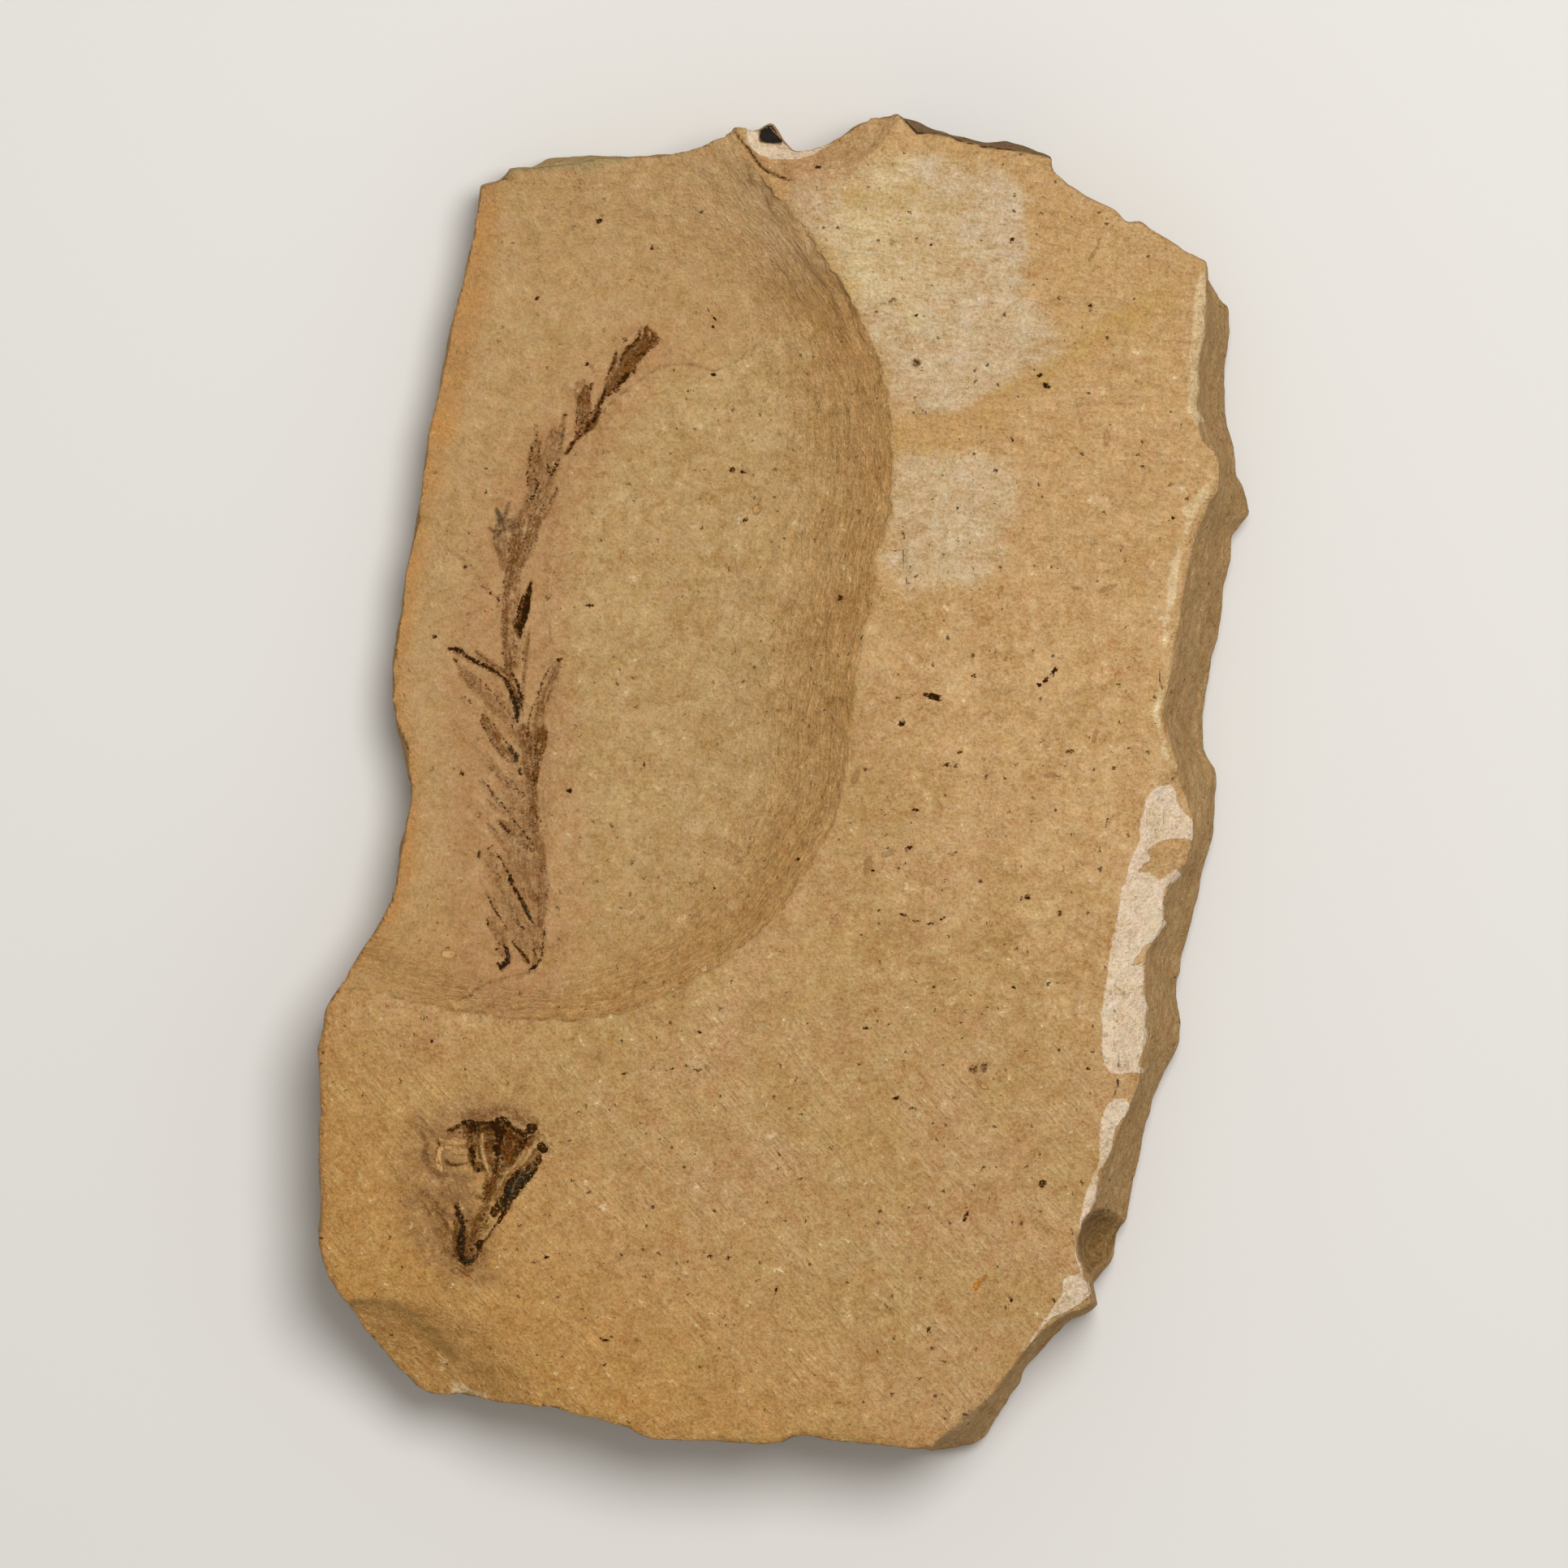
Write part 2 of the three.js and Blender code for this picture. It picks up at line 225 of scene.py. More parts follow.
def specks(place, spacing, radius, share):
    """Round specks in a share of a loose grid's cells, with their spacing and radius in millimetres."""
    cells = place.node("TexVoronoi", {}, {"Vector": place, "Scale": 1 / spacing}, out="Distance")
    colour = Shade(place.tree, cells.output.node.outputs["Color"])
    chosen = colour.ramp(share + 0.01, share)
    return (cells * spacing).ramp(radius, radius * 0.55) * chosen


def coloured_noise(place, scale, detail, roughness=0.5):
    """Noise with a value of its own in red, green and blue."""
    inputs = {"Vector": place, "Scale": scale, "Detail": detail, "Roughness": roughness}
    return place.node("TexNoise", {}, inputs, out="Color")


def blend(first, second, mask):
    """The first colour where the mask is 0, and the second where it is 1."""
    return mask.node("Mix", {"data_type": "RGBA"}, {0: mask, 6: first, 7: second}, out=2)


def bump(height):
    """A normal from a height in millimetres."""
    return height.node("Bump", {}, {"Height": height, "Distance": MM, "Strength": 1.0}, out="Normal")


def field(shade, name):
    """A value that the mesh carries."""
    return shade.node("Attribute", {"attribute_name": name}, out="Fac")


# ---- Where things are on the slab, in millimetres ----

# The scar that the big flake left: its rim from the top edge round to the left edge, then back outside.
SCAR = [
    (-6.0, 79.8), (-4.2, 76.7), (-2.2, 73.5), (0.8, 70.3), (3.5, 66.5), (5.8, 62.8), (8.1, 59.6),
    (9.4, 56.9), (10.8, 54.4), (12.1, 51.0), (12.8, 46.8), (13.2, 40.6), (13.1, 32.1), (12.3, 31.6),
    (11.2, 26.6), (10.9, 23.6), (9.6, 17.6), (8.8, 11.7), (8.2, 6.7), (7.8, 0.7), (6.5, -4.3), (3.5, -9.3),
    (0.8, -13.7), (-2.8, -17.9), (-6.8, -21.9), (-10.6, -24.1), (-13.8, -26.1), (-17.2, -27.4),
    (-20.1, -28.1), (-23.2, -28.8), (-26.1, -29.1), (-29.6, -28.9), (-33.8, -28.8), (-37.6, -28.1),
    (-40.1, -27.8), (-44.0, -27.1), (-46.0, -26.8), (-49.8, -25.6), (-52.0, -25.1), (-54.4, -25.1),
    (-60.8, -23.4), (-60.8, 26.6), (-40.8, 83.7), (-8.8, 84.7),
]
RIM_POINTS = 40  # how many of them are the rim
SCAR_RIM = SCAR[:RIM_POINTS]

# The edge of the thin layer that the shoot lies on, from the lower left up along its right side.
LAYER_EDGE = [
    (-42.1, -27.4), (-40.8, -26.8), (-38.9, -25.9), (-36.4, -24.4), (-34.5, -23.8), (-32.5, -23.4),
    (-30.8, -22.9), (-29.6, -20.4), (-29.4, -15.3), (-29.6, -9.3), (-29.1, 0.7), (-28.4, 8.7),
    (-28.6, 16.6), (-29.6, 22.6), (-29.1, 30.6), (-27.8, 36.6), (-25.2, 42.1), (-20.8, 47.6), (-16.8, 50.9),
    (-13.8, 51.8), (-8.8, 51.0), (-3.8, 53.6),
]

INNER_LAYER = LAYER_EDGE + [(3.2, 58.6), (16.2, 56.6), (16.2, -31.4), (-40.8, -31.4)]

# Fresh pale stone where the surface has broken away along the edge.
CHALK = {
    "bevel": [
        (47.4, -0.1), (45.8, -0.3), (45.0, -1.1), (44.2, -1.9), (44.1, -3.1), (43.4, -4.5), (43.5, -5.7),
        (43.6, -6.8), (43.1, -8.2), (42.1, -10.2), (41.9, -11.8), (41.4, -12.9), (41.0, -15.2),
        (40.5, -17.4), (40.0, -18.9), (39.8, -20.8), (39.5, -23.8), (39.1, -25.4), (39.0, -27.4),
        (38.8, -28.4), (39.0, -29.6), (38.8, -30.9), (38.9, -32.8), (39.2, -34.5), (40.1, -35.6),
        (41.5, -35.5), (44.4, -35.5), (43.5, -34.5), (44.0, -32.8), (44.6, -31.4), (44.2, -29.1),
        (44.6, -27.4), (44.0, -25.4), (44.1, -23.6), (44.0, -22.1), (42.6, -22.4), (42.9, -21.4),
        (43.4, -20.8), (44.0, -19.8), (45.0, -19.4), (46.0, -18.4), (47.0, -17.1), (46.6, -16.6),
        (46.4, -14.4), (46.5, -12.9), (47.9, -11.9), (48.8, -11.1), (47.9, -10.3), (47.0, -11.2),
        (46.1, -11.9), (45.0, -10.8), (43.2, -10.8), (44.1, -9.9), (45.2, -9.3), (44.5, -8.2), (45.0, -7.7),
        (46.5, -7.0), (47.6, -6.8), (49.5, -6.7), (50.1, -7.0), (50.2, -4.5), (49.0, -3.4), (48.1, -1.9),
        (48.0, -0.6),
    ],
    "lower_strip": [
        (40.5, -38.6), (39.5, -39.5), (38.9, -41.0), (38.5, -42.8), (38.5, -45.5), (38.4, -46.6),
        (37.9, -47.9), (37.2, -49.4), (36.8, -50.8), (36.4, -52.5), (36.2, -53.5), (36.0, -55.5),
        (35.6, -58.1), (36.5, -60.1), (34.8, -60.5), (34.1, -60.8), (34.0, -62.5), (33.4, -63.5),
        (32.4, -65.0), (30.4, -67.8), (29.9, -68.8), (30.4, -68.5), (31.6, -66.7), (32.8, -65.5),
        (34.5, -65.0), (36.2, -63.9), (37.9, -62.5), (37.6, -61.5), (36.6, -60.8), (36.5, -59.0),
        (36.0, -58.4), (36.0, -55.5), (36.6, -53.6), (37.5, -52.5), (38.1, -51.0), (38.4, -49.0),
        (38.6, -47.6), (39.5, -46.5), (40.0, -45.5), (40.4, -43.8), (40.5, -42.4), (41.4, -41.1),
        (42.4, -40.1), (42.0, -38.6),
    ],
    "notch": [
        (-4.7, 80.7), (-3.4, 80.8), (-3.2, 78.8), (-0.5, 78.7), (-0.1, 79.8), (1.1, 78.2), (3.6, 78.2),
        (5.5, 78.8), (3.9, 77.7), (1.4, 76.8), (-1.8, 76.8), (-3.5, 77.5), (-4.7, 79.0),
    ],
}
CREAM = {
    "upper_strip": [
        (50.8, 62.8), (50.0, 59.5), (50.1, 56.9), (49.8, 53.8), (49.5, 49.5), (49.5, 46.0), (50.5, 44.2),
        (51.5, 44.9), (50.6, 46.0), (50.9, 49.5), (51.0, 52.4), (51.5, 55.1), (51.6, 59.5), (51.9, 63.4),
    ],
    "right_strip": [
        (52.0, 37.1), (50.9, 36.4), (49.6, 34.5), (48.5, 34.0), (49.2, 33.0), (49.2, 31.9), (48.8, 30.1),
        (47.5, 27.9), (47.1, 26.4), (47.0, 24.8), (47.1, 23.1), (46.8, 21.1), (46.4, 19.4), (46.4, 17.8),
        (47.0, 17.1), (47.1, 19.2), (47.4, 21.1), (48.0, 23.8), (48.1, 26.4), (48.5, 27.9), (49.6, 31.2),
        (50.2, 32.5), (50.9, 34.0), (52.1, 35.5),
    ],
    "right_chip": [(48.4, 36.5), (49.2, 36.5), (49.0, 35.4), (48.5, 35.5)],
    "low_right_strip": [(45.8, 11.8), (45.2, 8.2), (46.5, 3.6), (47.2, 2.6), (46.0, 8.2), (46.6, 11.7)],
    "corner_flake": [
        (-41.1, -73.3), (-40.0, -73.8), (-38.1, -74.5), (-36.2, -75.2), (-37.4, -75.5), (-41.9, -75.5),
        (-40.9, -74.5),
    ],
}

# Paler, greyer areas of the bedding plane, and yellower bands across it.
BLANCHED = {
    "upper": [
        (7.0, 75.5), (13.2, 76.7), (19.2, 77.0), (27.6, 75.5), (29.4, 72.8), (29.4, 69.0), (29.9, 66.5),
        (29.6, 62.1), (28.9, 59.5), (30.8, 58.9), (32.1, 57.8), (33.2, 55.0), (33.5, 53.0), (32.5, 51.5),
        (30.4, 51.0), (27.4, 49.5), (24.9, 48.5), (22.1, 46.5), (19.2, 45.5), (16.4, 45.2), (13.7, 46.6),
        (13.1, 48.5), (11.4, 53.8), (9.2, 57.8), (7.0, 61.4), (5.0, 65.5), (1.9, 69.5), (0.2, 72.2),
        (1.6, 74.5),
    ],
}
MIDDLING = {
    "middle": [
        (14.1, 40.6), (18.2, 41.0), (23.2, 40.5), (28.2, 38.6), (28.8, 34.6), (27.2, 30.6), (27.1, 26.6),
        (23.2, 24.4), (19.2, 25.1), (15.1, 23.1), (13.1, 26.6), (13.2, 32.6),
    ],
}
OCHRE = [
    [(51.2, 62.5, 1.3), (46.5, 60.0, 1.5), (42.2, 57.1, 1.4), (39.2, 55.0, 1.2), (36.4, 52.6, 1.5),
     (33.0, 50.6, 1.3), (29.6, 49.0, 1.3), (26.9, 46.9, 1.6), (24.1, 44.6, 1.8), (19.8, 42.6, 1.8),
     (14.4, 42.6, 1.6)],
    [(-6.2, 79.8, 0.5), (-4.5, 76.8, 1.0), (-2.8, 74.5, 1.1), (-0.8, 72.8, 0.9), (1.8, 70.5, 0.5)],
    [(8.1, 72.7, 1.2), (11.8, 71.0, 1.0), (15.3, 72.5, 0.7)],
    [(4.2, 66.2, 0.9), (6.3, 63.4, 0.9), (8.2, 60.5, 0.5)],
]

# Dark stone on the broken top edge: partly worn by the weather, partly painted shade where it runs down the
# walls that face away from the light.
UMBER = {
    "right": [
        (13.7, 82.5), (16.4, 82.0), (18.1, 81.0), (21.2, 80.0), (24.9, 79.7), (27.8, 79.5), (30.6, 78.7),
        (33.2, 77.8), (33.0, 77.2), (29.9, 77.8), (24.9, 78.2), (21.6, 79.0), (19.2, 80.0), (16.2, 80.0),
        (15.1, 81.0),
    ],
    "left": [
        (-35.5, 75.2), (-34.5, 76.3), (-31.9, 77.2), (-29.6, 78.2), (-26.4, 78.7), (-22.9, 78.7),
        (-17.9, 77.8), (-19.4, 77.0), (-20.4, 76.7), (-22.9, 76.2), (-24.4, 75.2), (-25.8, 75.7),
        (-30.6, 75.5), (-33.4, 75.2), (-34.0, 74.5), (-35.4, 74.5),
    ],
}

# A dark nodule in the notch of the top edge.
LUMP = [(-3.4, 79.0), (-3.0, 80.7), (-2.4, 81.5), (-1.6, 81.8), (-0.6, 81.2), (-0.1, 78.8), (-1.8, 78.7)]
# Dark lines of painted shade in creases: along cracks, the scar's rim, the edges and under the pit's top rim.
# The stone is grooved along them too.
SHADED_CREASES = [
    [(-5.8, 79.8, 0.1), (-4.2, 77.8, 0.14), (-3.1, 76.0, 0.16), (-1.8, 75.0, 0.14), (-0.1, 74.5, 0.12),
     (0.8, 74.3, 0.06)],
    [(14.8, 81.5, 0.12), (16.2, 80.0, 0.18), (19.2, 80.2, 0.14), (21.6, 79.0, 0.16), (24.9, 78.2, 0.14),
     (27.8, 78.0, 0.1), (30.6, 77.8, 0.08)],
    [(-35.0, 74.7, 0.2), (-34.0, 74.7, 0.18)], [(41.0, -33.2, 0.06), (40.9, -34.9, 0.09)],
    [(40.8, -36.2, 0.15), (40.9, -37.0, 0.14), (40.4, -38.4, 0.1)],
    [(38.5, -52.8, 0.05), (39.5, -52.5, 0.22), (40.5, -52.9, 0.26), (41.5, -53.5, 0.1)],
    [(10.1, 20.9, 0.06), (10.7, 22.4, 0.1), (11.2, 24.1, 0.1)],
    [(8.8, 16.6, 0.06), (9.6, 18.6, 0.1)],
    [(14.3, 30.6, 0.06), (14.6, 26.6, 0.12), (15.1, 23.9, 0.06)],
    [(45.8, 15.2, 0.05), (46.0, 12.8, 0.1), (46.4, 11.4, 0.08)],
]
LEDGE_SHADE = [
    (-53.5, -63.5, 0.3), (-51.2, -63.9, 0.6), (-48.4, -64.2, 0.8), (-45.5, -65.5, 0.9), (-43.2, -67.8, 1.1),
    (-40.8, -70.5, 0.7),
]
# A pit in the right edge. The stone's material paints its inside dark brown, as painted shade.
PIT = [
    (37.0, -52.8), (38.5, -52.2), (39.9, -52.4), (41.2, -53.2), (42.0, -54.0), (41.1, -55.5), (40.6, -57.1),
    (39.9, -58.5), (38.5, -59.5), (37.8, -60.8), (36.8, -59.5), (36.1, -57.9), (36.0, -55.8), (36.4, -54.1),
]

# The border of the corner chip, where the broken surface runs out into the bedding plane.
CHIP_BORDER = [(-46.8, -63.5), (-42.5, -65.5), (-37.0, -69.2), (-32.6, -73.5), (-31.1, -76.8)]

# The left edge of the slab, where iron has stained the stone.
RUST_EDGE = [
    (-37.5, 74.0), (-39.2, 61.6), (-42.6, 46.6), (-44.8, 36.0), (-46.5, 26.1), (-47.8, 18.6), (-48.6, 12.4),
    (-47.9, 6.7), (-46.5, 0.1), (-46.8, -4.3), (-47.8, -10.3), (-49.8, -16.4), (-52.0, -20.4),
    (-54.4, -24.9), (-56.4, -27.4), (-57.1, -32.4), (-57.5, -43.4), (-57.1, -57.4), (-56.5, -60.4),
    (-53.8, -64.5), (-49.8, -70.2),
]
RUST_WIDTH = [
    2.4, 2.6, 2.4, 1.6, 1.4, 1.5, 1.3, 1.4, 1.6, 1.7, 2.0, 1.6, 1.0, 0.5, 0.6, 0.8, 0.7, 0.7, 0.9, 0.9, 0.9,
]

# Fine cracks, and dark lines of painted shade along the thin borders of layers and the foot of the scar's
# rim: a kind, a strength and a line of x, y and half width.
CRACKS_AND_SHADED_STEPS = [
    ("rust", 0.85, [(-6.2, 80.2, 0.08), (-5.5, 79.2, 0.12), (-4.5, 78.0, 0.15), (-3.8, 77.0, 0.16),
        (-3.0, 76.0, 0.15), (-2.0, 75.3, 0.14), (-0.9, 74.8, 0.12), (0.1, 74.3, 0.13), (0.8, 74.3, 0.06)]),
    ("ink", 0.62, [(-5.8, 79.5, 0.04), (-4.5, 78.0, 0.07), (-3.8, 77.0, 0.08), (-3.0, 76.0, 0.07),
        (-2.0, 75.3, 0.05)]),
    ("rust", 0.6, [(-54.4, -25.1, 0.04), (-52.0, -25.1, 0.07), (-49.8, -25.6, 0.09), (-46.0, -26.8, 0.1),
        (-44.0, -27.1, 0.07)]),
    ("rust", 0.5, [(-44.0, -27.1, 0.07), (-40.1, -27.8, 0.06), (-37.6, -28.1, 0.08), (-33.8, -28.8, 0.06),
        (-29.6, -28.9, 0.05)]),
    ("rust", 0.42, [(-29.6, -28.9, 0.05), (-26.1, -29.1, 0.06), (-23.2, -28.9, 0.05),
        (-20.1, -28.1, 0.04)]),
    ("olive", 0.55, [(-40.8, -26.9, 0.05), (-38.9, -25.9, 0.12), (-37.8, -25.1, 0.17), (-36.4, -24.4, 0.18),
        (-34.5, -23.8, 0.13), (-32.5, -23.4, 0.1), (-30.8, -23.1, 0.06)]),
    ("olive", 0.6, [(-22.9, 45.5, 0.05), (-21.9, 46.6, 0.09), (-20.8, 47.6, 0.09), (-18.8, 49.2, 0.1),
        (-16.8, 50.6, 0.1), (-15.2, 51.5, 0.07), (-13.8, 51.8, 0.1), (-11.9, 51.9, 0.08),
        (-10.6, 51.5, 0.1), (-8.8, 51.0, 0.08), (-6.8, 51.6, 0.06), (-4.8, 52.9, 0.1), (-2.8, 54.6, 0.08),
        (-1.2, 56.6, 0.05)]),
]

# Where the stone around the fossils has taken up a pinkish brown stain: a line, and how far it reaches.
STAINS = [
    [(-17.8, 54.1, 3.0), (-22.2, 47.6, 3.5), (-27.8, 40.6, 4.0), (-31.2, 31.6, 5.0), (-33.2, 22.6, 5.5),
     (-34.2, 13.7, 7.0), (-33.8, 3.6, 7.5), (-32.8, -7.3, 7.5), (-33.2, -16.4, 7.5), (-33.8, -21.9, 6.0)],
    [(-2.5, 76.3, 1.0), (0.2, 75.5, 1.6), (3.8, 75.8, 1.6), (7.2, 76.5, 1.4)],
]
FAN_STAIN = [
    (-32.8, -40.8, 0.8), (-36.8, -40.8, 1.2), (-40.8, -41.8, 1.4), (-43.1, -44.4, 3.0), (-43.5, -48.4, 3.6),
    (-42.5, -53.4, 4.0), (-39.8, -57.4, 3.2), (-37.5, -59.4, 1.2),
]

# Marks on the fossils. Each stroke is a kind, a strength and a line of x, y and half width.
SHOOT = [
    # the bud at the tip
    ("film", 0.95, [(-17.16, 56.16, 0.3), (-16.42, 55.09, 0.8), (-17.5, 54.34, 1.1), (-18.66, 53.18, 1.2),
        (-19.49, 51.85, 1.0), (-20.15, 50.69, 0.8), (-21.14, 49.36, 0.5), (-22.14, 48.2, 0.3)]),
    ("film", 0.6, [(-20.81, 53.34, 0.2), (-21.14, 52.02, 0.4), (-21.64, 50.69, 0.4), (-21.97, 49.36, 0.3),
        (-22.39, 48.04, 0.2)]),
    ("rust", 0.6, [(-16.42, 55.5, 0.3), (-16.33, 54.75, 0.5), (-17.33, 53.68, 0.3)]),
    ("rust", 0.5, [(-20.15, 52.52, 0.5), (-20.81, 50.86, 0.5), (-21.64, 50.03, 0.4)]),
    ("pale", 0.22, [(-17.5, 54.67, 0.4), (-19.65, 52.85, 0.4), (-21.31, 49.03, 0.3)]),
    ("ink", 0.72, [(-17.74, 56.25, 0.13), (-18.08, 55.33, 0.22), (-18.49, 54.5, 0.25),
        (-19.49, 53.76, 0.29), (-20.07, 52.68, 0.25), (-20.4, 51.69, 0.13)]),
    ("ink", 0.6, [(-17.08, 56.41, 0.13), (-17.41, 55.33, 0.16), (-17.83, 54.09, 0.2),
        (-18.41, 53.43, 0.16)]),
    ("ink", 0.55, [(-16.17, 55.83, 0.13), (-15.51, 55.0, 0.16), (-16.09, 54.01, 0.13),
        (-17.33, 53.18, 0.18), (-17.91, 52.85, 0.25)]),
    ("ink", 0.55, [(-18.49, 53.18, 0.16), (-18.99, 52.18, 0.2), (-19.49, 52.02, 0.22),
        (-20.15, 51.02, 0.13)]),
    ("ink", 0.62, [(-18.32, 51.52, 0.16), (-18.66, 50.94, 0.29), (-19.24, 50.69, 0.22)]),
    ("ink", 0.95, [(-19.49, 50.44, 0.27), (-19.9, 49.99, 0.38), (-20.4, 49.36, 0.18),
        (-21.14, 48.62, 0.13)]),
    ("ink", 0.7, [(-20.73, 50.28, 0.25), (-20.89, 49.7, 0.34), (-21.14, 49.12, 0.16)]),
    ("ink", 0.6, [(-20.94, 53.26, 0.18), (-21.14, 52.27, 0.16), (-21.72, 50.86, 0.18),
        (-22.06, 50.03, 0.13)]),
    ("ink", 0.8, [(-22.06, 49.12, 0.16), (-22.39, 48.04, 0.25), (-22.5, 47.46, 0.34),
        (-22.97, 46.71, 0.18)]),
    ("ink", 0.6, [(-20.4, 48.62, 0.22), (-21.31, 48.37, 0.13), (-21.97, 47.87, 0.16)]),
    ("ink", 0.55, [(-19.73, 54.87, 0.27)]),
    # the second tuft
    ("film", 0.8, [(-22.8, 47.37, 0.4), (-23.13, 46.05, 0.5), (-23.71, 44.89, 0.7), (-24.46, 44.06, 0.7),
        (-25.29, 43.23, 0.45), (-26.12, 42.07, 0.22), (-27.03, 40.66, 0.15)]),
    ("film", 0.62, [(-24.46, 48.87, 0.5), (-24.79, 47.37, 0.9), (-24.79, 45.72, 0.9),
        (-24.96, 44.39, 0.7)]),
    ("film", 0.34, [(-25.12, 49.36, 0.8), (-25.45, 48.04, 0.8)]),
    ("ink", 0.8, [(-23.05, 46.63, 0.2), (-23.08, 45.97, 0.31), (-23.38, 45.14, 0.29), (-24.13, 44.56, 0.27),
        (-24.38, 43.73, 0.22), (-25.12, 43.15, 0.18), (-25.7, 42.57, 0.13), (-26.12, 42.15, 0.29),
        (-26.53, 41.24, 0.16), (-27.03, 40.66, 0.22)]),
    ("ink", 0.5, [(-24.96, 44.39, 0.16), (-24.63, 45.55, 0.22), (-23.8, 45.88, 0.16)]),
    ("ink", 0.62, [(-25.59, 47.54, 0.13), (-25.72, 46.21, 0.15), (-25.79, 44.72, 0.11),
        (-25.75, 43.31, 0.18)]),
    ("olive", 0.7, [(-25.29, 47.79, 0.3), (-25.62, 44.39, 0.2)]),
    ("ink", 0.5, [(-25.26, 47.79, 0.27)]),
    ("ink", 0.75, [(-23.8, 49.53, 0.2), (-24.0, 49.03, 0.18), (-23.93, 48.54, 0.11)]),
    ("ink", 0.45, [(-24.0, 47.37, 0.18), (-24.13, 46.63, 0.11)]),
    ("rust", 0.4, [(-24.79, 49.36, 0.6), (-24.29, 48.37, 0.4)]),
    # the upper leaves
    ("film", 0.44, [(-30.43, 42.4, 0.6), (-30.84, 40.74, 0.9), (-30.84, 39.08, 1.0), (-30.93, 37.59, 0.9),
        (-31.09, 35.93, 0.8), (-31.59, 34.44, 0.9), (-32.09, 33.12, 1.0)]),
    ("film", 0.42, [(-28.6, 43.73, 0.5), (-28.6, 42.07, 1.1), (-28.77, 40.41, 1.2), (-29.19, 38.75, 1.1),
        (-29.77, 37.09, 1.1), (-30.43, 35.44, 1.2), (-31.09, 33.78, 1.3), (-31.42, 32.65, 1.3)]),
    ("film", 0.4, [(-27.2, 45.55, 0.3), (-27.44, 44.22, 0.5), (-27.61, 42.23, 0.4), (-27.86, 40.58, 0.4)]),
    ("blue", 0.8, [(-27.11, 44.06, 0.16), (-27.41, 43.23, 0.32), (-27.53, 42.65, 0.22)]),
    ("ink", 0.45, [(-27.41, 43.15, 0.18), (-27.69, 41.41, 0.16)]),
    ("ink", 0.35, [(-27.2, 45.52, 0.29)]), ("olive", 0.55, [(-27.94, 43.4, 0.35)]),
    ("rust", 0.6, [(-28.11, 40.08, 0.25), (-28.44, 39.08, 0.35), (-28.94, 38.17, 0.3)]),
    ("ink", 0.66, [(-27.94, 40.25, 0.16), (-28.36, 39.33, 0.25), (-28.8, 38.26, 0.2), (-29.19, 38.92, 0.22),
        (-29.35, 39.42, 0.16)]),
    ("ink", 0.52, [(-30.59, 43.4, 0.18), (-30.68, 42.23, 0.27), (-31.22, 41.32, 0.22),
        (-31.46, 40.25, 0.22), (-31.51, 39.08, 0.22), (-31.66, 37.76, 0.22), (-31.76, 36.93, 0.13)]),
    ("ink", 0.42, [(-30.26, 41.32, 0.18), (-30.4, 40.33, 0.2), (-30.76, 39.08, 0.16),
        (-31.01, 38.09, 0.16)]),
    ("ink", 0.66, [(-30.73, 37.56, 0.27), (-30.43, 37.09, 0.22), (-31.01, 35.93, 0.18),
        (-31.26, 35.27, 0.22), (-31.67, 34.94, 0.18)]),
    ("ink", 0.34, [(-30.1, 36.43, 0.16), (-30.59, 34.94, 0.16), (-30.93, 33.45, 0.16)]),
    ("film", 0.42, [(-28.19, 36.43, 0.3), (-28.6, 35.44, 0.5), (-29.19, 34.28, 0.6), (-29.77, 33.12, 0.6)]),
    ("ink", 0.36, [(-28.14, 36.51, 0.16), (-28.85, 34.86, 0.22), (-29.35, 35.44, 0.18),
        (-30.26, 33.45, 0.16)]),
    # the stem down to the black leaf
    ("film", 0.58, [(-30.89, 32.65, 1.0), (-31.16, 31.04, 0.85), (-31.79, 29.44, 0.8), (-32.68, 27.83, 0.8),
        (-33.39, 26.04, 0.6), (-33.93, 24.26, 0.45)]),
    ("film", 0.62, [(-33.04, 31.94, 0.8), (-33.21, 29.97, 0.9), (-33.57, 28.01, 0.7), (-34.02, 25.86, 0.5),
        (-34.32, 23.36, 0.4), (-34.46, 21.22, 0.45), (-34.5, 19.08, 0.5), (-34.29, 16.94, 0.6),
        (-34.11, 14.79, 0.6), (-33.84, 13.01, 0.5)]),
    ("ink", 0.36, [(-30.0, 31.76, 0.09), (-30.62, 29.97, 0.13), (-31.43, 28.19, 0.13),
        (-32.32, 26.76, 0.13), (-33.04, 24.97, 0.13)]),
    ("ink", 0.4, [(-32.05, 30.51, 0.2), (-33.04, 28.54, 0.11), (-33.75, 26.76, 0.13), (-34.11, 28.36, 0.18),
        (-34.2, 29.97, 0.11)]),
    ("ink", 0.36, [(-34.64, 25.51, 0.11), (-34.73, 23.72, 0.16), (-34.82, 21.94, 0.13),
        (-34.96, 19.79, 0.11)]),
    ("ink", 0.5, [(-34.38, 20.33, 0.25), (-34.73, 20.69, 0.13)]),
    ("rust", 0.45, [(-31.96, 27.83, 0.3), (-33.04, 26.4, 0.3), (-33.75, 25.15, 0.2)]),
    ("rust", 0.5, [(-34.2, 18.36, 0.4), (-34.11, 16.58, 0.5), (-34.29, 14.79, 0.4)]),
    ("ink", 0.42, [(-34.82, 16.58, 0.16), (-34.68, 15.51, 0.18), (-34.55, 13.72, 0.16)]),
    ("ink", 0.4, [(-33.39, 17.65, 0.13), (-33.04, 16.49, 0.13), (-33.48, 14.79, 0.13),
        (-33.75, 13.72, 0.16)]),
    ("film", 0.45, [(-35.71, 31.58, 0.5), (-35.36, 30.15, 0.7), (-35.0, 28.54, 0.6), (-34.64, 26.76, 0.5)]),
    ("blue", 0.75, [(-35.62, 33.9, 0.3), (-35.0, 32.65, 0.5), (-34.82, 31.58, 0.4)]),
